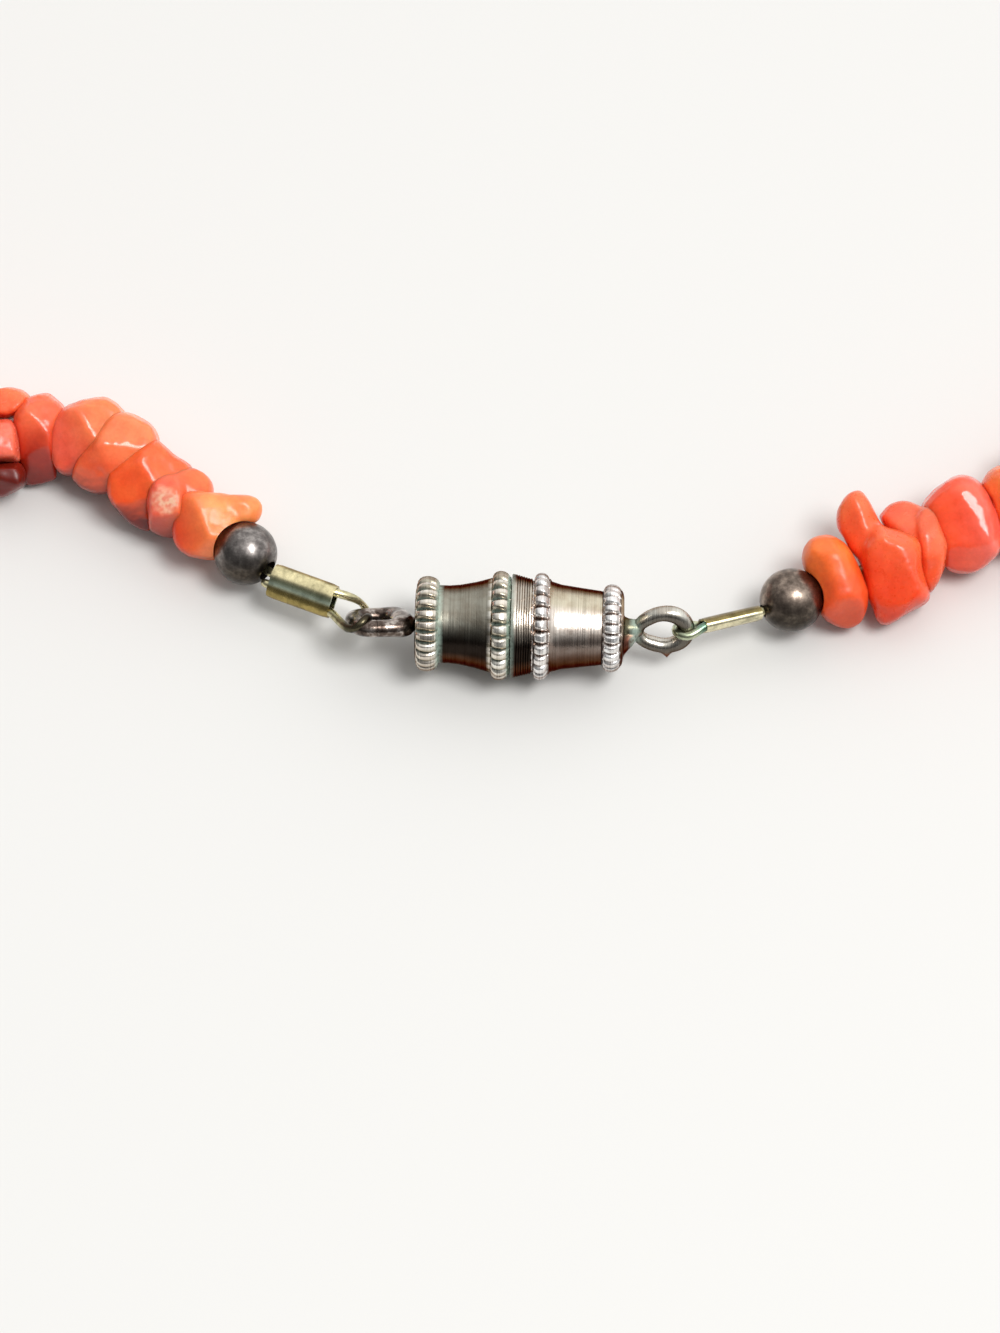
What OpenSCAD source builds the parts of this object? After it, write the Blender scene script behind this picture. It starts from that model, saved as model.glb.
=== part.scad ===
// Coral necklace: one closed string of tumbled coral chips on a wire, with a turned barrel clasp,
// a silver bead and a flattened crimp tube on each side of it.
// It lies flat. X runs along the clasp, Y goes back across the loop, Z is up.
// Lengths are in millimetres.

/* [Clasp] */
// Radius over the teeth of the rim in the middle of the clasp
middle_rim_r = 3.42; // [3.3:0.02:3.7]
// Radius over the teeth of the rim beside the collar
collar_rim_r = 3.36; // [3.2:0.02:3.6]
// Radius over the teeth of the left end rim
left_rim_r = 2.98; // [2.8:0.02:3.3]
// Radius over the teeth of the right end rim
right_rim_r = 2.75; // [2.6:0.02:3]
// Teeth milled in each rim
tooth_count = 24; // [18:1:30]
// Depth of the grooves between the teeth
tooth_depth = 0.2; // [0.1:0.02:0.3]
// Radius of the plain stud inside the clasp
stud_r = 1.4; // [1:0.1:1.8]
// Length of the stud
stud_l = 3.2; // [2:0.1:3.6]
// Gap between the two halves, and round the stud
clasp_gap = 0.12; // [0.1:0.01:0.2]
// Turn of the clasp on the surface, in degrees
clasp_turn = -1.7; // [-4:0.1:0]

/* [Ring and eye] */
// Thickness of the dark ring's wire
ring_wire = 0.85; // [0.7:0.01:0.95]
// Width of the dark ring over all
ring_w = 4.2; // [4:0.05:4.3]
// Tilt of the dark ring about the clasp, in degrees
ring_tilt = -45; // [-60:1:-30]
// Thickness of the eye's wire
eye_wire = 0.7; // [0.6:0.01:0.75]
// Width of the eye over all
eye_w = 3.5; // [3.4:0.05:3.7]
// Tilt of the eye about the clasp, in degrees
eye_tilt = 65; // [50:1:75]

/* [Beads and crimp tubes] */
// Diameter of the silver beads
bead_d = 4; // [3.6:0.05:4.1]
// Diameter of their drilled hole
bead_hole_d = 1.1; // [1:0.05:1.4]
// Width of a flattened crimp tube
tube_w = 2.2; // [2:0.05:2.3]
// Thickness of a flattened crimp tube
tube_t = 0.95; // [0.85:0.01:1]
// Wall of the crimp tube
tube_wall = 0.14; // [0.1:0.01:0.16]

/* [Wire] */
// Diameter of the stringing wire
wire_d = 0.44; // [0.3:0.02:0.46]
// Sides of the wire's section
wire_sides = 6; // [5:1:8]
// Longest step along the wire between two sections
wire_step = 5; // [3:0.5:6]

/* [Coral] */
// Mean length of string that one chip takes
chip_pitch = 2.42; // [2.3:0.02:3]
// Gap between two chips
chip_gap = 0.14; // [0.12:0.01:0.2]
// Radius of the hole through a chip
chip_hole_r = 0.46; // [0.44:0.01:0.5]
// Seed of the chips behind the neck
chip_seed = 11; // [1:1:99]

/* [Loop] */
// Radius of the round way behind the neck
loop_r = 65; // [62:0.5:68]
// Height of the wire inside the string
string_z = 2.9; // [2.8:0.05:3.1]

/* [Hidden] */

silver = "#8c8880";
dark_silver = "#4a4542";
brass = "#c9b870";
coral = "#f0562f";

// The origin is the middle of the whole necklace on the surface, just in front of the round way's middle.
middle_y = loop_r - 0.3;
origin_shift = [0, -middle_y, 0];

// The halves meet here.
seam_at = -0.6;
right_start = seam_at + clasp_gap;
// Outlines of the turned parts, from left to right.
// Columns: place along the clasp, radius.
left_body = [
    [-6.3, 0], [-6.3, 2.5], [-5, 2.46], [-4.4, 2.43], [-3.7, 2.5], [-2.7, 2.7], [-1.8, 2.98],
    [seam_at, 2.98], [seam_at, 0]
];
right_body = [
    [right_start, 0], [right_start, 3.25], [-0.13, 3.2], [0.77, 2.98], [0.82, 2.86], [1.02, 2.86],
    [1.02, 3], [1.92, 3], [2.02, 2.84], [2.62, 2.66], [3.92, 2.48], [5.22, 2.32], [6.3, 2.24], [6.3, 0]
];
// How far soldered parts run into each other
sunk = 0.3;
// Columns: place of the rim's left side, width.
left_end_rim = [-6.44, 1.42];
middle_rim = [-1.75, 1.15];
collar_rim = [0.88, 0.98];
right_end_rim = [5.22, 1.16];
ring_at = -8.7;
stub_r = 0.36;
eye_at = 9.06;
neck_r = 0.84;

// Columns: outer place, inner place of a crimp tube's axis.
OUTER = 0;
INNER = 1;
crimp_left = [[-15.5, 3.7, 2.8], [-11.65, 1.8, 3.3]];
crimp_right = [[15, 1.3, 2.8], [11.5, 0.1, 3.25]];
// The wide way of each flattened tube.
crimp_left_wide = [0, 0.87, 0.5];
crimp_right_wide = [0, -0.5, 0.87];
// How far the two wires in a tube lie from its axis, at its outer and inner end.
wire_apart = [0.34, 0.6];
// How far the wire's cut ends stand out of the left and right tube.
left_tail = 0.6;
right_tail = 0.12;

bead_left_at = [-17.2, 5.7, 2.7];
bead_right_at = [17.1, 2.3, 2.7];
bead_left_turn = 138;
bead_right_turn = 24;

// The string on the surface beside the clasp, outwards from each bead.
left_knots = [
    [-18.8, 7.1, 2.8], [-20.6, 8.4, 2.9], [-22, 9.6, 2.9], [-24.4, 11.3, 2.9], [-26.6, 13.1, 2.9],
    [-29, 13.9, 2.9], [-31.4, 13.9, 2.9], [-34.5, 14.2, 2.9], [-40, 16.2, 2.9], [-47, 21, 2.9],
    [-53.5, 28.5, 2.9], [-58.7, 37, 2.9]
];
right_knots = [
    [18.95, 3.1, 2.8], [21.3, 4.3, 2.9], [24, 5.7, 2.9], [26.3, 7, 2.9], [29.6, 9.1, 2.9], [34, 12, 2.9],
    [40, 15.9, 2.9]
];
// Angles of the round way behind, from the left to the right.
back_from = 198;
back_to = -37;
back_turn_step = 15;

// Chips beside the clasp, outwards from each bead. Each row starts at a face between two chips.
// Columns: distance from the bead's middle, lean of the face's top and of its front towards the clasp,
// then the chip's reach upwards, backwards, downwards and forwards as the front sees it, and its squareness.
AT = 0;
LEAN = 1;
NOD = 2;
TOP = 3;
SQUARE = 7;
left_chips = [
    [2.25, 14, -10, 2.7, 2.0, 2.5, 2.4, 1.7],
    [4.5, 0, -8, 2.6, 2.2, 2.5, 3.0, 2.2],
    [6.3, -3, -8, 2.6, 2.3, 3.2, 3.0, 2.2],
    [9.3, 0, -6, 3.4, 2.5, 2.9, 3.2, 2.3],
    [12.3, 0, 0, 3.2, 2.5, 2.4, 3.0, 2.4],
    [14.8, 6, -10, 3.0, 2.5, 2.8, 2.6, 2.2],
    [16.9, 4, -10, 3.3, 2.6, 3.3, 3.0, 2.3]
];
left_chips_end = 19.2;
right_chips = [
    [2.25, 2, 4, 3.0, 2.1, 3.3, 2.3, 2.5],
    [4.9, 0, 8, 4.7, 2.4, 4.0, 3.0, 1.35],
    [8.0, 11, -6, 3.0, 2.5, 3.1, 2.9, 2.2],
    [10.6, 0, 0, 2.9, 2.6, 3.4, 3.2, 2.5],
    [14.5, -6, 0, 2.7, 2.4, 2.8, 2.6, 2.2]
];
right_chips_end = 16.9;
// The rims of the two chips beside the beads reach over them: a horn at the left one's top,
// and a hollow face all round on the right one.
horn_reach = 1.25;
horn_sharpness = 4;
cup_reach = 0.5;
// Angles of the seen directions round the string, from the outside of the loop upwards.
seen_top = 150;
seen_front = 60;
// Rings of a chip between its two faces.
// Columns: share of the reach, share of the way to the next face.
fine_rings = [[0.7, 0], [0.93, 0.16], [1, 0.5], [0.93, 0.84], [0.7, 1]];
plain_rings = [[0.76, 0], [1, 0.5], [0.76, 1]];
fine_sides = 12;
plain_sides = 8;

// Small vector helpers
function unit(v) = v / norm(v);
function turned_about_z(p, a) = [p.x * cos(a) - p.y * sin(a), p.x * sin(a) + p.y * cos(a), p.z];
function on_clasp(p) = turned_about_z(p, clasp_turn) + [0, 0, middle_rim_r];
function tilted(a) = [0, -sin(a), cos(a)];

// A place inside a crimp tube: way = 0 at its outer end and 1 at its inner end.
function crimp_way(crimp) = unit(crimp[INNER] - crimp[OUTER]);
function crimp_side(crimp, wide) = unit(wide - (wide * crimp_way(crimp)) * crimp_way(crimp));
function in_crimp(crimp, wide, way, side) =
    crimp[OUTER] + (crimp[INNER] - crimp[OUTER]) * way
    + crimp_side(crimp, wide) * side * (wire_apart[OUTER] * (1 - way) + wire_apart[INNER] * way);

// The wire's turn round the far bar of the eye, which keeps clear of the bar.
// It goes from one angle to the other, in degrees from the way to the clasp.
hook_clear = 0.12;
hook_steps = 6;
function hook(bar_at, from, to) =
    let (reach = (eye_wire + wire_d) / 2 + hook_clear)
    [for (i = [0 : hook_steps])
        let (a = from + (to - from) * i / hook_steps)
        bar_at + reach * (cos(a) * turned_about_z([-1, 0, 0], clasp_turn) + sin(a) * tilted(eye_tilt))];

right_bar = on_clasp([eye_at + (eye_w - eye_wire) / 2, 0, 0]);

// The wire's way through the dark ring: over its near bar, down through it, and under and up behind its
// far bar. Columns: degrees round the ring, degrees round the bar from its outer side upwards.
ring_turn = [
    [205, -5], [225, -8], [240, 25], [244, 75], [238, 125], [210, 175],
    [175, 205], [145, 240], [125, 285], [115, 335], [112, 385]
];
function through_ring(turn) =
    let (
        reach = (ring_wire + wire_d) / 2 + hook_clear,
        out = (ring_w - ring_wire) / 2 + reach * cos(turn[1]),
        across = out * sin(turn[0]),
        above = reach * sin(turn[1])
    )
    on_clasp([
        ring_at + out * cos(turn[0]),
        across * cos(ring_tilt) - above * sin(ring_tilt),
        across * sin(ring_tilt) + above * cos(ring_tilt)
    ]);

function bead_end(at, turn, side) = at + side * (bead_d / 2) * [cos(turn), sin(turn), 0];

// The wire's whole way, from its left tail to its right tail.
left_wire_end = concat(
    [in_crimp(crimp_left, crimp_left_wide, 0, -1) - left_tail * crimp_way(crimp_left)],
    [for (way = [0, 0.5, 1]) in_crimp(crimp_left, crimp_left_wide, way, -1)],
    [for (turn = ring_turn) through_ring(turn)],
    [for (way = [1, 0.5, 0]) in_crimp(crimp_left, crimp_left_wide, way, 1)],
    [bead_end(bead_left_at, bead_left_turn, -1), bead_left_at]
);
right_wire_end = concat(
    [bead_right_at, bead_end(bead_right_at, bead_right_turn, -1)],
    [for (way = [0, 0.5, 1]) in_crimp(crimp_right, crimp_right_wide, way, -1)],
    hook(right_bar, -115, 115),
    [for (way = [1, 0.5, 0]) in_crimp(crimp_right, crimp_right_wide, way, 1)],
    [in_crimp(crimp_right, crimp_right_wide, 0, 1) - right_tail * crimp_way(crimp_right)]
);
back_knots = [
    for (a = [back_from : -back_turn_step : back_to])
        [loop_r * cos(a), loop_r + loop_r * sin(a), string_z]
];
function reversed(list) = [for (i = [len(list) - 1 : -1 : 0]) list[i]];
knots = concat(left_wire_end, left_knots, back_knots, reversed(right_knots), right_wire_end);
last_knot = len(knots) - 1;
gaps = [for (i = [0 : last_knot - 1]) norm(knots[i + 1] - knots[i])];
marks = [for (i = 0, sum = 0; i <= last_knot; sum = sum + (i < last_knot ? gaps[i] : 0), i = i + 1) [sum, i]];
left_bead_mark = marks[len(left_wire_end) - 1][0];
right_bead_mark = marks[last_knot + 1 - len(right_wire_end)][0];

// A smooth curve through the knots. Its direction at a knot weighs the two gaps beside it.
function knot_way(i) =
    i == 0 ? unit(knots[1] - knots[0])
    : i == last_knot ? unit(knots[i] - knots[i - 1])
    : ((knots[i + 1] - knots[i]) * gaps[i - 1] / gaps[i] + (knots[i] - knots[i - 1]) * gaps[i] / gaps[i - 1])
        / (gaps[i - 1] + gaps[i]);
ways = [for (i = [0 : last_knot]) knot_way(i)];
function curve(i, t) =
    let (u = 1 - t)
    knots[i] * u * u * (1 + 2 * t) + knots[i + 1] * t * t * (3 - 2 * t)
    + (ways[i] * u - ways[i + 1] * t) * t * u * gaps[i];
function curve_way(i, t) =
    let (u = 1 - t)
    unit(
        (knots[i + 1] - knots[i]) * 6 * t * u / gaps[i]
        + ways[i] * u * (1 - 3 * t)
        + ways[i + 1] * t * (3 * t - 2)
    );
function wire_index(mark) = min(floor(lookup(mark, marks)), last_knot - 1);
// A section of the wire: its middle, its direction, outwards and upwards.
function section(mark) =
    let (
        i = wire_index(mark),
        t = lookup(mark, marks) - i,
        way = curve_way(i, t),
        out = unit(cross([0, 0, 1], way))
    )
    [curve(i, t) + origin_shift, way, out, cross(way, out)];

// Points and faces of a closed tube or ring made of rounds with the same number of sides
function round_band(a, b, sides) = [
    for (i = [0 : sides - 1])
        let (j = (i + 1) % sides)
        each [[a + i, b + i, b + j], [a + i, b + j, a + j]]
];

// Faces between the chips, from the left bead to the right one.
// Columns: place along the wire, slope of the face towards the seen top and the seen front.
left_faces = [for (c = left_chips) [left_bead_mark + c[AT], -tan(c[LEAN]), -tan(c[NOD])]];
right_faces = [for (c = right_chips) [right_bead_mark - c[AT], tan(c[LEAN]), tan(c[NOD])]];
back_start = left_bead_mark + left_chips_end;
back_length = right_bead_mark - right_chips_end - back_start;
back_count = round(back_length / chip_pitch);
back_slope = 0.16;
back_jitter = 0.14;
shifts = rands(-back_jitter, back_jitter, 3 * (back_count + 1), chip_seed);
back_faces = [
    for (i = [0 : back_count])
        [
            back_start + back_length * (i + shifts[3 * i]) / back_count,
            shifts[3 * i + 1] * back_slope / back_jitter,
            shifts[3 * i + 2] * back_slope / back_jitter
        ]
];
faces = concat(left_faces, back_faces, reversed(right_faces));
frames = [for (f = faces) concat(section(f[0]), [f[1], f[2]])];

// Forms of the chips behind the neck.
// Columns: turn of the long way, then the reach along four directions a quarter turn apart, and squareness.
turns = rands(0, 180, back_count, chip_seed + 1);
longs = rands(2.6, 3.5, 2 * back_count, chip_seed + 2);
shorts = rands(2.0, 2.8, 2 * back_count, chip_seed + 3);
squares = rands(1.9, 2.7, back_count, chip_seed + 4);
function seen_form(c) = concat([seen_top], [for (i = [TOP : SQUARE]) c[i]]);
forms = concat(
    [for (c = left_chips) seen_form(c)],
    [for (i = [0 : back_count - 1])
        [turns[i], longs[2 * i], shorts[2 * i], longs[2 * i + 1], shorts[2 * i + 1], squares[i]]],
    reversed([for (c = right_chips) seen_form(c)])
);
chip_count = len(forms);
half_count = round(chip_count / 2);

// Reach of a chip in a direction round the string, and no further than the surface that it lies on
function chip_reach(form, a, height) =
    let (
        b = (a - form[0] + 720) % 360,
        quarter = floor(b / 90),
        c = b - 90 * quarter,
        p = form[5],
        free = pow(pow(cos(c) / form[1 + quarter], p) + pow(sin(c) / form[1 + (quarter + 1) % 4], p), -1 / p)
    )
    sin(a) < -0.01 ? min(free, -height / sin(a)) : free;

function face_point(frame, a, r, shift) =
    frame[0] + r * (cos(a) * frame[2] + sin(a) * frame[3])
    + (r * (frame[4] * cos(a - seen_top) + frame[5] * cos(a - seen_front)) + shift) * frame[1];

// How far the rim of a chip reaches past its first or second face
function near_reach(k, a) = k == 0 ? horn_reach * pow(max(0, cos(a - seen_top)), horn_sharpness) : 0;
function far_reach(k) = k == chip_count - 1 ? cup_reach : 0;

function is_seen(k) = k < len(left_chips) || k >= chip_count - len(right_chips);
function chip_rings(k) = is_seen(k) ? fine_rings : plain_rings;
function chip_sides(k) = is_seen(k) ? fine_sides : plain_sides;

// One chip is a closed ring of rounds: out along its first face, over its rim, back along the
// second face and through its hole.
function chip_points(k) =
    let (
        sides = chip_sides(k),
        near = frames[k],
        far = frames[k + 1],
        height = min(near[0].z, far[0].z),
        angles = [for (i = [0 : sides - 1]) 360 * i / sides],
        reaches = [for (a = angles) chip_reach(forms[k], a, height)]
    )
    concat(
        [for (a = angles) face_point(near, a, chip_hole_r, chip_gap / 2)],
        [for (ring = chip_rings(k)) for (i = [0 : sides - 1])
            let (
                a = angles[i],
                r = ring[0] * reaches[i],
                on_rim = ring[0] > fine_rings[0][0] ? 1 : 0
            )
            (1 - ring[1]) * face_point(near, a, r, chip_gap / 2 - on_rim * near_reach(k, a))
            + ring[1] * face_point(far, a, r, on_rim * far_reach(k) - chip_gap / 2)],
        [for (a = angles) face_point(far, a, chip_hole_r, -chip_gap / 2)]
    );
function chip_faces(k, start) =
    let (sides = chip_sides(k), rounds = len(chip_rings(k)) + 2)
    [for (r = [0 : rounds - 1])
        each round_band(start + r * sides, start + (r + 1) % rounds * sides, sides)];

module chips(first, last) {
    sizes = [for (k = [first : last]) chip_sides(k) * (len(chip_rings(k)) + 2)];
    starts = [for (i = 0, sum = 0; i < len(sizes); sum = sum + sizes[i], i = i + 1) sum];
    polyhedron(
        points = [for (k = [first : last]) each chip_points(k)],
        faces = [for (k = [first : last]) each chip_faces(k, starts[k - first])]
    );
}

// A rim milled with teeth, its left side at zero
module milled_rim(r, width) {
    chamfer = 0.3;
    crown = 0.07;
    outline = [
        [0, 0], [r - chamfer, 0], [r - crown, width * 0.25], [r, width * 0.5], [r - crown, width * 0.75],
        [r - chamfer, width], [0, width]
    ];
    // Columns: share of a tooth's turn, depth below the tooth's top.
    tooth = [[0, tooth_depth], [0.22, 0], [0.78, 0]];
    rotate([0, 90, 0])
        intersection() {
            rotate_extrude($fn = 96) polygon(outline);
            linear_extrude(width)
                polygon([
                    for (i = [0 : tooth_count - 1])
                        for (corner = tooth)
                            let (a = 360 * (i + corner[0]) / tooth_count)
                            (r + 0.01 - corner[1]) * [cos(a), sin(a)]
                ]);
        }
}

module turned(outline)
    rotate([0, 90, 0])
        rotate_extrude($fn = 64)
            polygon([for (p = outline) [p.y, p.x]]);

module wire_ring(width, wire)
    rotate_extrude($fn = 48)
        translate([(width - wire) / 2, 0])
            circle(d = wire, $fn = 24);

module at_clasp()
    translate(origin_shift + [0, 0, middle_rim_r])
        rotate(clasp_turn)
            children();

module rod(from, to, r1, r2)
    translate([from, 0, 0])
        rotate([0, 90, 0])
            cylinder(h = to - from, r1 = r1, r2 = r2, $fn = 32);

module clasp_left() {
    ring_bar = ring_at + (ring_w - ring_wire) / 2;
    color(silver)
        at_clasp() {
            difference() {
                union() {
                    turned(left_body);
                    translate([left_end_rim[0], 0, 0]) milled_rim(left_rim_r, left_end_rim[1]);
                    translate([middle_rim[0], 0, 0]) milled_rim(middle_rim_r, middle_rim[1]);
                }
                rod(seam_at - stud_l - clasp_gap, seam_at + sunk, stud_r + clasp_gap, stud_r + clasp_gap);
            }
            translate([ring_at, 0, 0]) rotate([ring_tilt, 0, 0]) wire_ring(ring_w, ring_wire);
            rod(ring_bar, left_end_rim[0] + sunk, stub_r, stub_r);
        }
}

module clasp_right() {
    eye_bar = eye_at - (eye_w - eye_wire) / 2;
    color(silver)
        at_clasp() {
            turned(right_body);
            translate([collar_rim[0], 0, 0]) milled_rim(collar_rim_r, collar_rim[1]);
            translate([right_end_rim[0], 0, 0]) milled_rim(right_rim_r, right_end_rim[1]);
            rod(seam_at - stud_l, right_start + sunk, stud_r, stud_r);
            translate([eye_at, 0, 0]) rotate([eye_tilt, 0, 0]) wire_ring(eye_w, eye_wire);
            rod(right_end_rim[0] + right_end_rim[1] - sunk, eye_bar, neck_r, eye_wire / 2);
        }
}

module bead(at, turn) {
    color(dark_silver)
        translate(at + origin_shift)
            rotate(turn)
                rotate([0, 90, 0])
                    rotate_extrude($fn = 64)
                        difference() {
                            circle(d = bead_d, $fn = 64);
                            translate([bead_hole_d / 2 - bead_d, -bead_d]) square([bead_d, 2 * bead_d]);
                        }
}
module silver_bead_left() bead(bead_left_at, bead_left_turn);
module silver_bead_right() bead(bead_right_at, bead_right_turn);

module flat_round(width, height) {
    square([width - height, height], center = true);
    for (side = [-1, 1])
        translate([side * (width - height) / 2, 0]) circle(d = height, $fn = 32);
}

module crimp(ends, wide) {
    along = crimp_way(ends);
    side = crimp_side(ends, wide);
    flat = cross(along, side);
    start = ends[OUTER] + origin_shift;
    color(brass)
        multmatrix([
            [side.x, flat.x, along.x, start.x],
            [side.y, flat.y, along.y, start.y],
            [side.z, flat.z, along.z, start.z],
            [0, 0, 0, 1]
        ])
            linear_extrude(norm(ends[INNER] - ends[OUTER]))
                difference() {
                    flat_round(tube_w, tube_t);
                    flat_round(tube_w - 2 * tube_wall, tube_t - 2 * tube_wall);
                }
}
module crimp_tube_left() crimp(crimp_left, crimp_left_wide);
module crimp_tube_right() crimp(crimp_right, crimp_right_wide);

module stringing_wire() {
    // More sections where the knots stand close and the wire bends
    stops = concat(
        [for (i = [0 : last_knot - 1])
            let (parts = max(gaps[i] < 1 ? 1 : 2, ceil(gaps[i] / wire_step)))
            for (j = [0 : parts - 1]) marks[i][0] + gaps[i] * j / parts],
        [marks[last_knot][0] - 0.001]
    );
    rounds = [
        for (stop = stops)
            let (s = section(stop))
            [for (j = [0 : wire_sides - 1])
                let (a = 360 * j / wire_sides)
                s[0] + wire_d / 2 * (cos(a) * s[2] + sin(a) * s[3])]
    ];
    count = len(rounds);
    color(brass)
        polyhedron(
            points = [for (r = rounds) each r],
            faces = concat(
                [[for (j = [0 : wire_sides - 1]) j]],
                [for (i = [0 : count - 2]) each round_band(i * wire_sides, (i + 1) * wire_sides, wire_sides)],
                [[for (j = [wire_sides - 1 : -1 : 0]) (count - 1) * wire_sides + j]]
            )
        );
}

module coral_chips_left() color(coral) chips(0, half_count - 1);
module coral_chips_right() color(coral) chips(half_count, chip_count - 1);

clasp_left();
clasp_right();
silver_bead_left();
silver_bead_right();
crimp_tube_left();
crimp_tube_right();
stringing_wire();
coral_chips_left();
coral_chips_right();
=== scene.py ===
# Coral necklace lying on a pale surface: the looks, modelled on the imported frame.
# Lengths are in millimetres until they reach a mesh. The chips beside the clasp are laid out as they are
# seen from the camera: x to the right, up the picture, and depth towards the camera, all from the middle
# of the clasp.
import math
import random

import bpy
from mathutils import Matrix, Vector, noise


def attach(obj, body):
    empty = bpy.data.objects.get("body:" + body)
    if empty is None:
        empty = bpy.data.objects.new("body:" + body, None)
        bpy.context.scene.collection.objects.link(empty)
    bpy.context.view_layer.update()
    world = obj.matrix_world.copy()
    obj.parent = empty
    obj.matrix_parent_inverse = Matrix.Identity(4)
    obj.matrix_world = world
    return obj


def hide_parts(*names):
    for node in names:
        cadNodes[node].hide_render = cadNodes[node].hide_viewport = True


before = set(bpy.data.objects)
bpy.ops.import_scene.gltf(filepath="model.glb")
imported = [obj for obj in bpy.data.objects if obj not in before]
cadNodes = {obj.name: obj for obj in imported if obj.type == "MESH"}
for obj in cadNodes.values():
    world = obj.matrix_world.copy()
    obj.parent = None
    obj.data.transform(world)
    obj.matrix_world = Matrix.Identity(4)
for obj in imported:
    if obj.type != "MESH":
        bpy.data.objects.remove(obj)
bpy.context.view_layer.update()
print("Frame loaded,", len(cadNodes), "nodes")

mm = 0.001
random.seed(7)

view = {"elevation": 60, "distance": 700, "frameWidth": 62.5, "middle": (-1.19, -67.62, 3.4), "sensor": 36}
claspPlace = {"middle": (0, -64.7, 3.42), "turn": -1.7}

tilt = math.radians(view["elevation"])
viewRight = Vector((1, 0, 0))
viewUp = Vector((0, math.sin(tilt), math.cos(tilt)))
viewTowards = Vector((0, -math.cos(tilt), math.sin(tilt)))
claspMiddle = Vector(claspPlace["middle"]) * mm
claspMatrix = Matrix.Translation(claspMiddle) @ Matrix.Rotation(math.radians(claspPlace["turn"]), 4, "Z")


# Small helpers for working as by hand

def pickOnly(piece):
    bpy.ops.object.select_all(action="DESELECT")
    piece.select_set(True)
    bpy.context.view_layer.objects.active = piece


def editAll(piece, *steps):  # steps are pairs of an edit-mode operator and its settings
    pickOnly(piece)
    bpy.ops.object.mode_set(mode="EDIT")
    bpy.ops.mesh.select_all(action="SELECT")
    for operator, settings in steps:
        operator(**settings)
    bpy.ops.object.mode_set(mode="OBJECT")


def startFrom(primitive, **settings):  # adds a primitive with nothing else selected
    bpy.ops.object.select_all(action="DESELECT")
    primitive(**settings)
    return bpy.context.active_object


def drawOut(*way):  # the edit step that extrudes what is selected
    return bpy.ops.mesh.extrude_region_move, {"TRANSFORM_OT_translate": {"value": way}}


def resizeRound(centre, *size):  # the edit step that scales what is selected about a point
    return bpy.ops.transform.resize, {"value": size, "center_override": centre}


def finishWith(piece, kind, **settings):  # adds a modifier and applies it
    modifier = piece.modifiers.new(kind.title(), kind)
    for key, value in settings.items():
        setattr(modifier, key, value)
    pickOnly(piece)
    bpy.ops.object.modifier_apply(modifier=modifier.name)


def joined(parts, name):
    bpy.ops.object.select_all(action="DESELECT")
    for part in parts:
        part.select_set(True)
    bpy.context.view_layer.objects.active = parts[0]
    if len(parts) > 1:
        bpy.ops.object.join()
    parts[0].name = name
    parts[0].data.name = name
    return parts[0]


def putDown(piece, matrix):  # the place goes into the mesh, and the object stays at the origin
    piece.matrix_world = matrix @ piece.matrix_world
    pickOnly(piece)
    bpy.ops.object.transform_apply(location=True, rotation=True, scale=True)


def facingOut(piece):
    editAll(piece, (bpy.ops.mesh.remove_doubles, {"threshold": 0.001 * mm}),
            (bpy.ops.mesh.normals_make_consistent, {"inside": False}))


def smoothTo(piece, angle):
    pickOnly(piece)
    bpy.ops.object.shade_smooth_by_angle(angle=math.radians(angle))


def toneLayer(piece, name):  # each vertex with its place in a colour layer, which the material reads
    layer = piece.data.color_attributes.new(name, "FLOAT_COLOR", "POINT")
    return zip(piece.data.vertices, layer.data)


def cutAway(piece, point, normal):  # keeps what lies behind the plane and closes it
    editAll(piece, (bpy.ops.mesh.bisect, {"plane_co": point, "plane_no": normal, "use_fill": True,
                                          "clear_outer": True, "clear_inner": False}))


def showing(piece, material, slotName, *replaced):
    piece.data.materials.clear()
    piece.data.materials.append(material)
    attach(piece, "root")
    if replaced:
        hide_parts(*replaced)
    print("Piece", piece.name, len(piece.data.polygons), "faces")


def frameOf(first, second, third):  # a matrix whose axes are these three directions
    return Matrix((first, second, third)).transposed().to_4x4()


def smoothStep(low, high, value):  # runs the other way when low is above high
    t = min(1, max(0, (value - low) / (high - low)))
    return t * t * (3 - 2 * t)


# Materials

def shade(hexColour, alpha=1.0):  # sRGB hex to linear
    parts = [int(hexColour[i:i + 2], 16) / 255 for i in (1, 3, 5)]
    return Vector([p / 12.92 if p <= 0.04045 else ((p + 0.055) / 1.055) ** 2.4 for p in parts] + [alpha])


def newMaterial(name):
    material = bpy.data.materials.new(name)
    material.use_nodes = True
    material.node_tree.nodes.clear()
    return material


def socketOf(sockets, key):  # by its place, or by its name among those in use
    if isinstance(key, int):
        return sockets[key]
    return next(socket for socket in sockets if socket.name == key and socket.enabled)


def addNode(material, kind, values=None, links=None, stops=None, **settings):
    tree = material.node_tree
    node = tree.nodes.new(kind)
    for key, value in settings.items():
        setattr(node, key, value)
    for key, value in (values or {}).items():
        socketOf(node.inputs, key).default_value = value
    for key, source in (links or {}).items():
        if isinstance(source, bpy.types.Node):
            source = next(output for output in source.outputs if output.enabled)
        tree.links.new(source, socketOf(node.inputs, key))
    if stops:
        ramp = node.color_ramp.elements
        while len(ramp) < len(stops):
            ramp.new(1)
        for element, (place, colour) in zip(ramp, stops):
            element.position = place
            element.color = colour
    return node


darken = {"data_type": "RGBA", "blend_type": "MULTIPLY"}  # settings of a mix that darkens A by B


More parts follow.
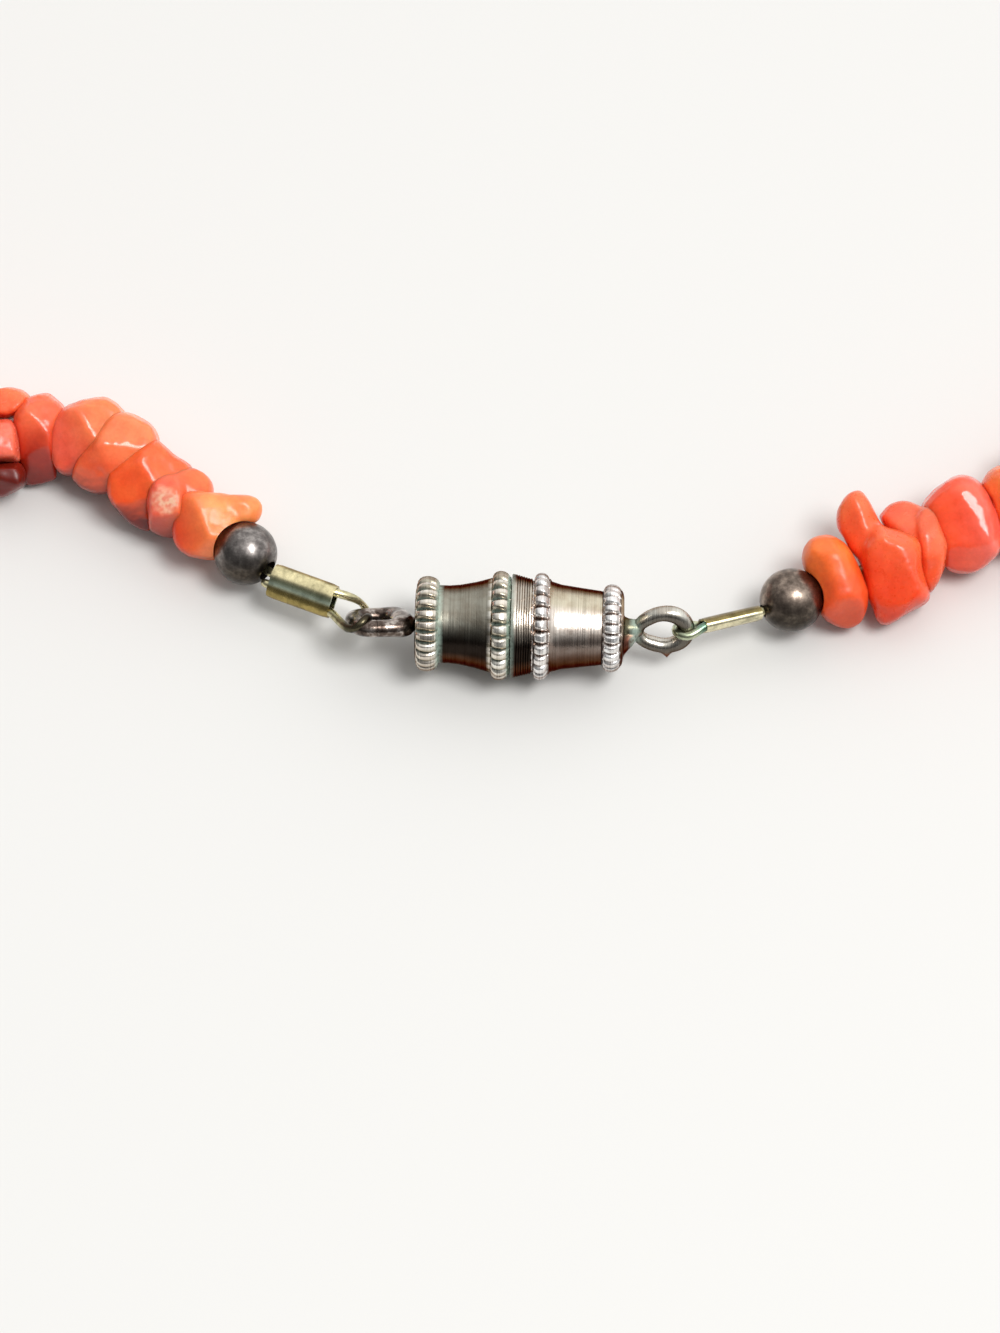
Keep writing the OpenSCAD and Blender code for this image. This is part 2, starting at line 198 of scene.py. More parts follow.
# Tumbled and polished coral: calcite with a waxy gloss, light goes a little way in and comes out redder
coral = {"mottle": 1.8, "grain": 0.2, "pit": 0.4, "mottleShare": 0.8, "grainShare": 0.6, "bump": 0.3,
         "swellDepth": 0.12, "pitDepth": 0.012, "roughness": 0.09, "rawRoughness": 0.5, "pitRoughness": 0.1,
         "ior": 1.49, "gloss": 0.5, "glow": 0.5, "glowDepth": 0.8, "glowTone": (1.0, 0.28, 0.1)}


def makeCoral():
    m = newMaterial("tumbledCoral")
    place = {"Vector": addNode(m, "ShaderNodeTexCoord").outputs["Object"]}
    tone = addNode(m, "ShaderNodeAttribute", attribute_name="chipTone")
    mottle, grain, pits = [
        addNode(m, "ShaderNodeTexNoise", {"Scale": 1 / (coral[size] * mm), "Detail": detail}, place)
        for size, detail in (("mottle", 3), ("grain", 2), ("pit", 4))]
    mottled = addNode(m, "ShaderNodeValToRGB", links={"Fac": mottle}, stops=[
        (0.3, (0.88, 0.73, 0.7, 1)), (0.5, (1, 1, 1, 1)), (0.72, (1.08, 1.36, 1.48, 1))])
    grained = addNode(m, "ShaderNodeValToRGB", links={"Fac": grain}, stops=[
        (0.35, (0.93, 0.9, 0.9, 1)), (0.65, (1.04, 1.08, 1.1, 1))])
    colour = addNode(m, "ShaderNodeMix", {"Factor": coral["mottleShare"]},
                     {"A": tone.outputs["Color"], "B": mottled}, **darken)
    colour = addNode(m, "ShaderNodeMix", {"Factor": coral["grainShare"]},
                     {"A": colour, "B": grained}, **darken)
    # the tone's alpha is its polish, from a glossy face at 1 to the raw matt face of a break at 0
    polish = addNode(m, "ShaderNodeMapRange", {
        "To Min": coral["rawRoughness"], "To Max": coral["roughness"]}, {"Value": tone.outputs["Alpha"]})
    worn = addNode(m, "ShaderNodeMath", {1: coral["pitRoughness"]}, {0: pits}, operation="MULTIPLY")
    rough = addNode(m, "ShaderNodeMath", links={0: polish, 1: worn}, operation="ADD")
    swell = addNode(m, "ShaderNodeBump", {"Strength": coral["bump"], "Distance": coral["swellDepth"] * mm},
                    {"Height": mottle})
    pitted = addNode(m, "ShaderNodeBump", {"Strength": coral["bump"], "Distance": coral["pitDepth"] * mm},
                     {"Height": pits, "Normal": swell})
    shader = addNode(m, "ShaderNodeBsdfPrincipled", {
        "IOR": coral["ior"], "Specular IOR Level": coral["gloss"], "Subsurface Weight": coral["glow"],
        "Subsurface Radius": coral["glowTone"], "Subsurface Scale": coral["glowDepth"] * mm},
        {"Base Color": colour, "Roughness": rough, "Normal": pitted})
    addNode(m, "ShaderNodeOutputMaterial", links={"Surface": shader})
    return m


# Silver turned on a lathe and worn: rings run round it, drawn as coarse as they need to show, and brown
# stains and green crust stay where it is not rubbed; its colour layer also carries painted shade and
# reflections
claspFinish = {"line": 0.08, "lineRun": 6.25, "lineShare": 0.62, "lineBump": 0.6, "lineDepth": 0.02,
               "stain": 1.3, "stainTone": "#B9A08E", "stainShare": 0.4, "speck": 0.2, "speckBump": 0.3,
               "speckDepth": 0.03, "roughness": (0.2, 0.34), "edge": "#9C8070", "crust": "#B7CDBE",
               "crustRoughness": 0.6}


def makeClaspSilver():
    m = newMaterial("turnedClaspSilver")
    place = addNode(m, "ShaderNodeTexCoord").outputs["Object"]
    tone = addNode(m, "ShaderNodeAttribute", attribute_name="claspTone")  # its alpha is the green crust
    centred = addNode(m, "ShaderNodeVectorMath", {1: claspMiddle}, {0: place}, operation="SUBTRACT")
    along = addNode(m, "ShaderNodeVectorRotate", {"Angle": -math.radians(claspPlace["turn"])},
                    {"Vector": centred}, rotation_type="Z_AXIS")  # x now runs along the clasp's axis
    run = 1 / (claspFinish["lineRun"] * mm)
    rings = addNode(m, "ShaderNodeMapping", {"Scale": (1 / (claspFinish["line"] * mm), run, run)},
                    {"Vector": along})
    lines = addNode(m, "ShaderNodeTexNoise", {"Scale": 1.0, "Detail": 4}, {"Vector": rings})
    stain = addNode(m, "ShaderNodeTexNoise", {
        "Scale": 1 / (claspFinish["stain"] * mm), "Detail": 5, "Roughness": 0.65}, {"Vector": place})
    speck = addNode(m, "ShaderNodeTexNoise", {"Scale": 1 / (claspFinish["speck"] * mm), "Detail": 3},
                    {"Vector": place})
    lined = addNode(m, "ShaderNodeValToRGB", links={"Fac": lines}, stops=[
        (0.32, (0.55, 0.53, 0.5, 1)), (0.5, (0.95, 0.95, 0.95, 1)), (0.68, (1.15, 1.14, 1.12, 1))])
    stained = addNode(m, "ShaderNodeValToRGB", links={"Fac": stain}, stops=[
        (0.4, shade(claspFinish["stainTone"])), (0.6, (1, 1, 1, 1))])
    colour = addNode(m, "ShaderNodeMix", {"Factor": claspFinish["lineShare"]},
                     {"A": tone.outputs["Color"], "B": lined}, **darken)
    colour = addNode(m, "ShaderNodeMix", {"Factor": claspFinish["stainShare"]},
                     {"A": colour, "B": stained}, **darken)
    smooth, dull = claspFinish["roughness"]
    rough = addNode(m, "ShaderNodeMapRange", {
        "From Min": 0.3, "From Max": 0.7, "To Min": smooth, "To Max": dull}, {"Value": lines})
    patchy = addNode(m, "ShaderNodeMapRange", {"From Min": 0.2, "From Max": 0.5}, {"Value": speck})
    crusted = addNode(m, "ShaderNodeMath", links={0: tone.outputs["Alpha"], 1: patchy}, operation="MULTIPLY")
    fine = addNode(m, "ShaderNodeBump", {
        "Strength": claspFinish["lineBump"], "Distance": claspFinish["lineDepth"] * mm}, {"Height": lines})
    worn = addNode(m, "ShaderNodeBump", {
        "Strength": claspFinish["speckBump"], "Distance": claspFinish["speckDepth"] * mm},
        {"Height": speck, "Normal": fine})
    # the thin brown film shows most where the metal is seen at a slant
    metal = addNode(m, "ShaderNodeBsdfPrincipled", {
        "Metallic": 1.0, "Specular Tint": shade(claspFinish["edge"])},
        {"Base Color": colour, "Roughness": rough, "Normal": worn})
    green = addNode(m, "ShaderNodeBsdfPrincipled", {
        "Base Color": shade(claspFinish["crust"]), "Roughness": claspFinish["crustRoughness"]},
        {"Normal": worn})
    mixed = addNode(m, "ShaderNodeMixShader", links={0: crusted, 1: metal, 2: green})
    addNode(m, "ShaderNodeOutputMaterial", links={"Surface": mixed})
    return m


def makeCloudyMetal(name, finish):
    m = newMaterial(name)
    place = {"Vector": addNode(m, "ShaderNodeTexCoord").outputs["Object"]}
    cloud = addNode(m, "ShaderNodeTexNoise", {
        "Scale": 1 / (finish["cloud"] * mm), "Detail": 6, "Roughness": 0.65}, place)
    speck = addNode(m, "ShaderNodeTexNoise", {"Scale": 1 / (finish["speck"] * mm), "Detail": 3}, place)
    stops = [(share, shade(tone)) for share, tone in finish["tones"]]
    colour = addNode(m, "ShaderNodeValToRGB", links={"Fac": cloud}, stops=stops)
    if "layer" in finish:
        tone = addNode(m, "ShaderNodeAttribute", attribute_name=finish["layer"]).outputs["Color"]
        colour = addNode(m, "ShaderNodeMix", {"Factor": 1.0}, {"A": tone, "B": colour}, **darken)
    dull, bright = finish["roughness"]
    rough = addNode(m, "ShaderNodeMapRange", {
        "From Min": 0.32, "From Max": 0.68, "To Min": dull, "To Max": bright}, {"Value": cloud})
    bump = addNode(m, "ShaderNodeBump", {"Strength": 0.3, "Distance": finish["depth"] * mm},
                   {"Height": speck})
    shader = addNode(m, "ShaderNodeBsdfPrincipled", {"Metallic": 1.0},
                     {"Base Color": colour, "Roughness": rough, "Normal": bump})
    addNode(m, "ShaderNodeOutputMaterial", links={"Surface": shader})
    return m


tumbledCoral = makeCoral()
turnedSilver = makeClaspSilver()
# Silver blackened by age: a dark sulphide film, rubbed back to grey where it is touched
oxidisedSilver = makeCloudyMetal("oxidisedSilver", {
    "tones": [(0.34, "#5E5955"), (0.5, "#7C7671"), (0.66, "#A59E97")], "roughness": (0.38, 0.28),
    "cloud": 0.55, "speck": 0.16, "depth": 0.02, "layer": "metalTone"})
# The ring's silver is rubbed by the wire, so its brown film is thinner and it shines more
rubbedSilver = makeCloudyMetal("rubbedSilver", {
    "tones": [(0.36, "#302722"), (0.5, "#665951"), (0.64, "#BDB3AB")], "roughness": (0.3, 0.14),
    "cloud": 0.8, "speck": 0.14, "depth": 0.02})
# Drawn and pressed brass: its colour layer paints reflections and shade across each tube, cream along one
# edge and darker gold at the other, with grey-green tarnish in the dented middle
pressedBrass = makeCloudyMetal("pressedBrass", {
    "tones": [(0.36, "#B4B4B0"), (0.58, "#FFFFFF")], "roughness": (0.34, 0.2),
    "cloud": 1.1, "speck": 0.12, "depth": 0.015, "layer": "metalTone"})
# Thin brass wire, pale gold with green where it bends
drawnWire = makeCloudyMetal("drawnBrassWire", {
    "tones": [(0.35, "#B0B2AA"), (0.55, "#FFFFFF")], "roughness": (0.34, 0.24),
    "cloud": 0.7, "speck": 0.1, "depth": 0.004, "layer": "metalTone"})
print("Materials made")


beads = {"radius": 2, "gap": 0.03, "segments": 64, "rings": 44, "smooth": 50, "paintedUnderShade": "#8E8880",
         "lowFrom": (0.1, -0.7),
         # each bead's tint below is its own colour; the tone its underside turns to is painted shade
         "Left": {"at": (-17.2, -59.0, 2.7), "turn": 138, "hole": 0.58, "beadTint": "#FAFBFF"},
         "Right": {"at": (17.1, -62.4, 2.7), "turn": 24, "hole": 0.36, "beadTint": "#FFF0E4"}}

# Coral chips beside the clasp
# Each chip has a place on the string, two tones with the direction in which one turns into the other, and
# lumps that are melted into one form. A lump has its outline as the camera sees it, its reach in front and
# behind, and facets ground on it: x, up and depth of a point, the way it faces in the picture, and its slope
# in degrees.
# The two tones are partly the chip's own colour and partly painted light: most chips turn lighter towards
# the upper right, the key light's side.
seenChips = {
    "A": {"at": (-20.5, 6.5), "tone": ("#E6441F", "#FF9050", 10), "polish": 0.6, "rounds": 28, "shadow": 0.4,
          "lumps": [
        {"outline": [(-0.9, 1.7), (-0.25, 1.95), (0.6, 2.0), (1.7, 1.75), (2.6, 1.2), (2.9, 0.4),
                     (2.8, -0.4), (2.5, -1.2), (2.0, -1.9), (1.4, -2.3), (0.55, -2.2), (-0.3, -2.05),
                     (-0.8, -1.75), (-1.2, -1.2), (-1.3, -0.5), (-1.2, 0.45)],
         "front": 2.6, "back": 2.2,
         "facets": [(0.7, 0, 2.2, 190, 34), (0.7, 0, 2.2, 40, 23), (0.5, -1.6, 1.7, 280, 45)]},
        {"outline": [(0.25, 1.75), (1.3, 1.85), (2.3, 1.7), (3.4, 1.7), (3.95, 1.5), (4.25, 1.1),
                     (4.25, 0.65), (4.05, 0.1), (3.05, -0.1), (2.1, -0.3), (1.2, -0.3), (0.4, 0.45)],
         "middle": 0.5, "front": 0.9, "back": 1.0, "facets": []}], "touches": "Left"},
    "B": {"at": (-22, 8), "tone": ("#EE6650", "#F46A3A", 0), "polish": 0.6, "rounds": 18, "lumps": [
        {"outline": [(-1.4, 0.6), (-1.05, 1.3), (-0.45, 1.6), (0.3, 1.6), (0.95, 1.0), (1.2, -0.1),
                     (0.95, -1.4), (0.55, -2.4), (-0.45, -2.3), (-1.25, -1.95), (-1.3, -1.05),
                     (-1.45, -0.1)],
         "front": 2.5, "back": 2.2,
         "facets": [(-0.2, -0.05, 2.3, 200, 18), (-0.2, -1.1, 2.0, 265, 55), (-0.2, 0.9, 2.1, 95, 50)]},
        {"outline": [(-0.1, 1.6), (0.55, 1.9), (1.45, 1.95), (2.1, 1.6), (2.55, 1.1), (2.7, 0.5),
                     (2.4, -0.1), (1.45, -0.45), (0.3, -0.1)],
         "middle": -0.5, "front": 1.9, "back": 1.6, "facets": [(1.3, 1.0, 1.2, 60, 35)]}],
        "raw": {"at": (-0.25, -0.1, 2.3), "reach": 0.9, "edge": (0.55, 1.2), "ragged": 0.28, "grain": 0.4,
                "wear": 0.25, "mostWear": 0.7, "tone": "#FFC2A2"}},
    "C": {"at": (-24.5, 9), "tone": ("#FF5A26", "#F86632", 40), "polish": 0.75, "rounds": 34, "shadow": 1.4,
          "lumps": [
        {"outline": [(-1.5, -0.05), (-1.4, 0.55), (-0.75, 1.1), (0.05, 1.7), (0.8, 2.3), (1.6, 2.8),
                     (2.05, 2.45), (2.8, 1.75), (3.95, 0.95), (3.6, 0.1), (2.4, 0.1), (1.45, -0.5),
                     (1.25, -1.75), (1.25, -3.05), (0.5, -2.8), (-0.4, -2.2), (-1.05, -1.45),
                     (-1.45, -0.75)],
         "front": 2.6, "back": 2.2,
         "facets": [(0.9, 1.0, 2.3, 215, 20), (0.9, 1.0, 2.3, 30, 26), (0.2, -0.8, 1.9, 262, 40)]}]},
    "D": {"at": (-26, 11), "tone": ("#F8663C", "#FA8250", 70), "polish": 0.9, "rounds": 30, "lumps": [
        {"outline": [(-2.25, -1.6), (-2.2, -1.1), (-1.75, -0.3), (-1.1, 0.45), (-0.6, 1.25),
                     (-0.1, 1.95), (0.45, 2.45), (1.1, 2.55), (1.7, 2.3), (2.4, 2.0), (2.9, 1.6),
                     (3.2, 1.05), (3.25, 0.55), (2.7, -0.3), (1.7, -1.25), (0.55, -2.1), (-0.2, -2.6),
                     (-1.05, -2.5), (-1.75, -2.2)],
         "front": 2.9, "back": 2.4,
         "facets": [(0.5, 0.4, 2.6, 64, 22), (0.5, 0.4, 2.6, 302, 15), (-0.85, -0.9, 1.9, 235, 36)]}]},
    "E": {"at": (-27.5, 12), "tone": ("#F6644A", "#FA7E4A", 30), "polish": 0.9, "rounds": 30, "lumps": [
        {"outline": [(-2.2, -0.6), (-2.2, 0.2), (-1.95, 0.95), (-1.5, 1.6), (-1.1, 1.95), (-0.1, 2.25),
                     (0.6, 2.4), (1.3, 2.5), (1.7, 2.3), (2.2, 1.9), (2.6, 1.5), (2.25, 0.55),
                     (1.3, -0.4), (0.55, -1.3), (-0.05, -2.05), (-0.75, -2.45), (-1.4, -2.4),
                     (-1.8, -2.0), (-2.05, -1.4)],
         "front": 2.8, "back": 2.4,
         "facets": [(0.3, 0.5, 2.5, 200, 26), (0.3, 0.5, 2.5, 38, 25), (0, -1.0, 2.0, 265, 30)]}]},
    # F's dark first tone lies at its bottom and paints shade there.
    "F": {"at": (-30, 12), "tone": ("#BE2E18", "#FF7048", 85), "polish": 0.8, "rounds": 18, "shadow": 0.8,
          "lumps": [
        {"outline": [(-0.95, 2.5), (-0.25, 2.7), (0.25, 2.7), (0.6, 2.4), (1.05, 2.05), (1.3, 1.7),
                     (1.0, 1.1), (0.65, 0.4), (0.6, -1.0), (0.7, -2.65), (-0.3, -2.95), (-1.2, -3.1),
                     (-1.55, -1.75), (-1.7, -0.4), (-1.95, 0.55), (-1.95, 1.5), (-1.45, 2.25)],
         "middle": -0.5, "front": 2.5, "back": 2.0,
         "facets": [(-0.4, 0.8, 2.0, 225, 24), (-0.4, 0.8, 2.0, 45, 24), (0, -0.6, 1.7, 265, 44)]}]},
    "G": {"at": (-31.5, 14), "tone": ("#F4693C", "#F87848", 90), "lumps": [
        {"outline": [(-1.55, 1.0), (-0.95, 1.1), (-0.4, 1.05), (0.05, 0.9), (0.55, 0.5), (0.3, -0.1),
                     (-0.3, -0.6), (-0.95, -0.8), (-1.7, -0.75), (-1.9, 0.1)],
         "front": 2.3, "back": 2.6, "facets": [(-0.4, 0.3, 2.0, 100, 30)]}]},
    "H": {"at": (-32.5, 12), "tone": ("#EE6048", "#EE7256", 0), "lumps": [
        {"outline": [(-0.8, 1.0), (0.35, 1.05), (0.7, 0.55), (0.85, -0.4), (0.95, -1.6), (0, -1.65),
                     (-0.75, -1.65), (-1.0, -0.3)],
         "front": 2.6, "back": 2.2, "facets": [(0, 0.3, 2.3, 60, 25)]}]},
    # I is toned dark red-brown all over, which paints it as lying in shade.
    "I": {"at": (-32.5, 9.5), "tone": ("#561008", "#7C1A0C", 90), "polish": 0.5, "lumps": [
        {"outline": [(-0.8, 0.75), (0.9, 0.8), (1.25, 0.25), (1.25, -0.6), (0.55, -0.95), (0, -1.2),
                     (-0.8, -1.3)],
         "middle": -0.6, "front": 1.6, "back": 1.8, "facets": [(0, -0.2, 1.0, 260, 45)]}]},
    "R1": {"at": (20, 3), "tone": ("#F4702C", "#EA5424", 300), "polish": 0.45, "rounds": 34, "lumps": [
        {"outline": [(-2.2, 1.25), (-2.05, 1.9), (-1.75, 2.4), (-1.25, 2.6), (-0.7, 2.7), (-0.05, 2.55),
                     (0.45, 2.2), (0.8, 1.7), (1.25, 0.8), (1.65, -0.1), (1.95, -0.9), (1.9, -1.55),
                     (1.7, -2.25), (1.45, -2.7), (1.0, -3.05), (0.5, -3.1), (-0.25, -2.9),
                     (-0.75, -2.6), (-1.1, -2.1), (-1.25, -1.4), (-1.55, -0.25), (-2.0, 0.55)],
         "front": 2.3, "back": 2.1,
         "facets": [(0.6, -1.9, 1.5, 285, 50), (-0.9, 0, 1.9, 200, 42), (0.9, 0, 2.0, 20, 35),
                    (-1.0, 1.9, 1.7, 110, 50)]}], "touches": "Right"},
    "R3": {"at": (24, 4), "tone": ("#F04A20", "#F86A3C", 60), "polish": 0.65, "rounds": 40, "lumps": [
        {"outline": [(-1.4, 2.6), (-1.05, 2.2), (-0.1, 2.0), (0.7, 1.7), (1.15, 1.4), (1.3, 0.9),
                     (1.3, -0.05), (1.45, -0.8), (1.75, -1.75), (1.8, -2.25), (1.5, -2.55),
                     (0.45, -3.1), (-0.3, -3.6), (-0.8, -3.9), (-1.3, -3.9), (-1.55, -3.45),
                     (-1.7, -2.9), (-2.05, -2.2), (-2.2, -1.45), (-2.3, -0.8), (-2.5, 0), (-2.55, 0.75),
                     (-2.3, 1.55), (-1.95, 2.3)],
         "front": 2.7, "back": 2.3,
         "facets": [(-0.3, 0.3, 2.5, 235, 13), (0.7, 0.8, 2.3, 10, 28), (-0.5, -2.9, 1.7, 265, 35)]},
        {"outline": [(-3.95, 2.6), (-3.9, 3.3), (-3.6, 3.9), (-3.2, 4.3), (-2.7, 4.55), (-2.45, 4.45),
                     (-2.1, 3.95), (-1.8, 3.4), (-1.45, 2.75), (-1.1, 2.0), (-1.45, 0.75), (-2.2, -0.5),
                     (-2.55, 0.1), (-3.2, 0.95), (-3.5, 1.55), (-3.9, 2.1)],
         "middle": -0.1, "front": 1.6, "back": 1.4,
         "facets": [(-2.6, 3.4, 1.3, 25, 50), (-2.7, 3.3, 1.3, 190, 30)]}]},
    "R4": {"at": (25.5, 5), "tone": ("#F25A2C", "#EE6A44", 60), "polish": 0.7, "rounds": 26, "lumps": [
        {"outline": [(-2.8, 1.95), (-2.3, 2.5), (-1.8, 2.75), (-1.2, 2.85), (-0.6, 2.7), (-0.1, 2.45),
                     (0.5, 2.45), (0.7, 2.05), (0.8, 1.55), (1.3, 0.75), (1.5, 0.2), (1.5, -0.4),
                     (1.3, -1.2), (1.1, -1.6), (0.9, -2.1), (0.45, -2.9), (0.05, -2.75), (-0.45, -1.5),
                     (-1.4, 0.05), (-2.3, 1.1)],
         "middle": -0.6, "front": 2.0, "back": 1.8, "facets": [(-1.2, 2.0, 0.7, 100, 45)]},
        {"outline": [(-0.1, 2.45), (0.6, 2.5), (0.85, 1.65), (1.2, 0.8), (1.5, 0.15), (1.35, -0.5),
                     (1.15, -1.4), (0.85, -2.15), (0.35, -2.85), (0.05, -2.3), (-0.2, -1.45),
                     (-0.3, -0.35), (-0.4, 0.4), (-0.7, 1.25), (-0.55, 1.95)],
         "middle": 0.2, "front": 1.8, "back": 1.4,
         "facets": [(0.2, 1.0, 1.8, 75, 24), (0.6, -0.2, 1.8, 5, 27), (0.3, -1.0, 1.7, 300, 32)]}]},
    "R5": {"at": (28.5, 6.5), "tone": ("#F8522C", "#F46A56", 10), "polish": 1, "rounds": 40, "lumps": [
        {"outline": [(-3.2, 1.05), (-2.8, 1.55), (-2.3, 2.05), (-1.7, 2.55), (-1.1, 2.9), (-0.6, 3.05),
                     (0, 2.9), (0.6, 2.5), (1.2, 1.55), (1.6, 0.6), (1.95, -0.5), (1.8, -1.75),
                     (1.55, -2.15), (1.0, -2.6), (0.25, -3.1), (-0.3, -3.2), (-0.95, -3.1),
                     (-1.5, -2.9), (-1.75, -2.5), (-1.8, -1.45), (-2.3, -0.2), (-2.8, 0.6)],
         "front": 2.8, "back": 2.4,
         "facets": [(0.1, 0.6, 2.5, 200, 9), (0.1, 0.6, 2.5, 42, 17), (0, -2.0, 1.9, 265, 40)]}]},
    "R6": {"at": (31, 7.5), "tone": ("#F4602C", "#F87A40", 90), "lumps": [
        {"outline": [(-1.8, 1.5), (-1.45, 2.1), (-0.95, 2.45), (0, 2.7), (1.05, 2.4), (1.55, 1.3),
                     (1.55, -0.9), (0.95, -2.4), (0, -2.9), (-0.7, -2.4), (-0.75, -0.9), (-1.2, 0.4)],
         "front": 2.4, "back": 2.3, "facets": [(-0.5, 0.5, 2.0, 200, 30)]}]},
}
lumpRings = [(-1, 0.62), (-0.5, 0.93), (0, 1), (0.5, 0.94), (1, 0.66)]  # shares of depth and of outline
# facingDown, lowerThan and lowGain place the painted shade on the chips' lower sides
chipFinish = {"voxel": 0.11, "rounds": 14, "grow": 0.09, "wave": 1.3, "waveDepth": 0.16, "floor": 0.03,
              "stringSlope": 0.577, "stringDrop": 0.6, "polish": 0.7, "leftShadow": 1, "rightShadow": 0.4,
              "blend": 1.6, "facingDown": (0.3, 0.72), "paintedUnderShade": "#74140A", "lowerThan": 3.2,
              "lowGain": 1.5, "smooth": 60}
waves = bpy.data.textures.new("chipWaves", "CLOUDS")
waves.noise_scale = chipFinish["wave"] * mm


def makeLump(lump):
    outline = lump["outline"]
    middle = lump.get("middle", 0)
    centre = Vector((sum(p[0] for p in outline), sum(p[1] for p in outline))) / len(outline)
    share, size = lumpRings[0]
    depth = middle + share * lump["back"]
    piece = startFrom(bpy.ops.mesh.primitive_circle_add, vertices=len(outline), radius=mm, fill_type="NGON")
    for vertex, (x, up) in zip(piece.data.vertices, outline):
        vertex.co = Vector((centre.x + (x - centre.x) * size, centre.y + (up - centre.y) * size, depth)) * mm
    steps = []
    for share, nextSize in lumpRings[1:]:
        nextDepth = middle + share * lump["back" if share < 0 else "front"]
        grow = nextSize / size
        steps.append(drawOut(0, 0, (nextDepth - depth) * mm))
        steps.append(resizeRound((centre.x * mm, centre.y * mm, nextDepth * mm), grow, grow, 1))
        depth = nextDepth
        size = nextSize
    editAll(piece, *steps)
    for x, up, deep, facing, slope in lump["facets"]:
        facing = math.radians(facing)
        slope = math.radians(slope)
        normal = (math.sin(slope) * math.cos(facing), math.sin(slope) * math.sin(facing), math.cos(slope))
        cutAway(piece, Vector((x, up, deep)) * mm, normal)
    facingOut(piece)
    return piece


def tumble(piece, voxel, rounds, grow):
    finishWith(piece, "REMESH", mode="VOXEL", voxel_size=voxel * mm)
    finishWith(piece, "SMOOTH", factor=0.5, iterations=rounds)
    depth = chipFinish["waveDepth"]
    finishWith(piece, "DISPLACE", texture=waves, texture_coords="LOCAL", strength=depth * mm,
               mid_level=0.5 - grow / depth)


def toneChip(piece, centre, tone, polish, shadow=1, raw=None):
    first, second, angle = tone
    first = shade(first, polish)
    second = shade(second, polish)
    underShade = shade(chipFinish["paintedUnderShade"])
    direction = viewRight * math.cos(math.radians(angle)) + viewUp * math.sin(math.radians(angle))
    blend = chipFinish["blend"] * mm
    for vertex, entry in toneLayer(piece, "chipTone"):
        colour = first.lerp(second, smoothStep(-blend, blend, (vertex.co - centre).dot(direction)))
        # painted shade: the tone turns dark red where the surface faces down and lies low
        down = smoothStep(*chipFinish["facingDown"], -vertex.normal.dot(viewUp))
        low = chipFinish["lowGain"] - vertex.co.z / (chipFinish["lowerThan"] * mm)
        colour = colour.lerp(underShade, min(1, max(0, shadow * down * low)))
        colour[3] = polish
        if raw:
            ragged = raw["ragged"] * noise.noise(vertex.co / (raw["grain"] * mm))
            away = (vertex.co - raw["place"]).length / (raw["reach"] * mm)
            bare = 1 - smoothStep(*raw["edge"], away + ragged)
            worn = raw["wear"] + noise.noise(vertex.co / (raw["grain"] / 2 * mm))
            cream = shade(raw["tone"]).lerp(colour, min(raw["mostWear"], max(0, worn)))
            colour = colour.lerp(cream, bare)
            colour[3] = polish * (1 - bare)
        entry.color = colour


def makeRoomForBead(piece, side):  # the bead lies in a hollow of the chip, open towards the camera
    place = Vector(beads[side]["at"]) * mm
    radius = (beads["radius"] + beads["gap"]) * mm
    reach = 2 * beads["radius"] * mm
    ball = startFrom(bpy.ops.mesh.primitive_uv_sphere_add, segments=beads["segments"],
                     ring_count=beads["rings"], radius=radius, location=place)
    shaft = startFrom(bpy.ops.mesh.primitive_cylinder_add, vertices=beads["segments"], radius=radius,
                      depth=reach)
    shaft.matrix_world = Matrix.Translation(place + viewTowards * reach / 2) @ frameOf(
        viewRight, viewUp, viewTowards)
    for tool in (ball, shaft):
        finishWith(piece, "BOOLEAN", object=tool, operation="DIFFERENCE", solver="EXACT")
        bpy.data.objects.remove(tool)


def makeSeenChip(name, chip):
    x, up = chip["at"]
    # the string lies level, and the view looks down on it
    stringDepth = -chipFinish["stringSlope"] * up - chipFinish["stringDrop"]
    centre = claspMiddle + (viewRight * x + viewUp * up + viewTowards * stringDepth) * mm
    piece = joined([makeLump(lump) for lump in chip["lumps"]], "chip" + name)
    facing = frameOf(viewRight, viewUp, viewTowards)
    putDown(piece, Matrix.Translation(centre) @ facing)
    cutAway(piece, (0, 0, chipFinish["floor"] * mm), (0, 0, -1))
    tumble(piece, chipFinish["voxel"], chip.get("rounds", chipFinish["rounds"]), chipFinish["grow"])
    if "touches" in chip:
        makeRoomForBead(piece, chip["touches"])
    raw = chip.get("raw")
    if raw:
        raw["place"] = centre + facing @ (Vector(raw["at"]) * mm)
    shadow = chip.get("shadow", chipFinish["leftShadow" if x < 0 else "rightShadow"])
    toneChip(piece, centre, chip["tone"], chip.get("polish", chipFinish["polish"]), shadow, raw)
    return piece


# The rest of the string: each solid of the frame is ground with a few facets and tumbled
hiddenChips = {"tones": ["#F2603A", "#EE4B2E", "#F4693C", "#F07A56", "#E94F2B", "#FB7A3C", "#EF5A30"],
               "facets": 4, "lean": 0.75, "reach": (0.74, 0.93), "voxel": 0.27, "rounds": 3, "grow": 0.03,
               "polish": (0.4, 0.9)}
seenCount = {"Left": 7, "Right": 5}  # chips next to the clasp that the seen ones stand for


def looseSolids(node):
    copy = cadNodes[node].copy()
    copy.data = copy.data.copy()
    bpy.context.scene.collection.objects.link(copy)
    copy.parent = None
    for key in list(copy.keys()):
        del copy[key]
    editAll(copy, (bpy.ops.mesh.remove_doubles, {"threshold": 0.001 * mm}),
            (bpy.ops.mesh.separate, {"type": "LOOSE"}))
    return list(bpy.context.selected_objects)


def centreOf(piece):
    return sum((vertex.co for vertex in piece.data.vertices), Vector()) / len(piece.data.vertices)


def fromClasp(piece):  # how far round the loop it lies
    centre = centreOf(piece)
    return abs(math.atan2(centre.x, -centre.y))


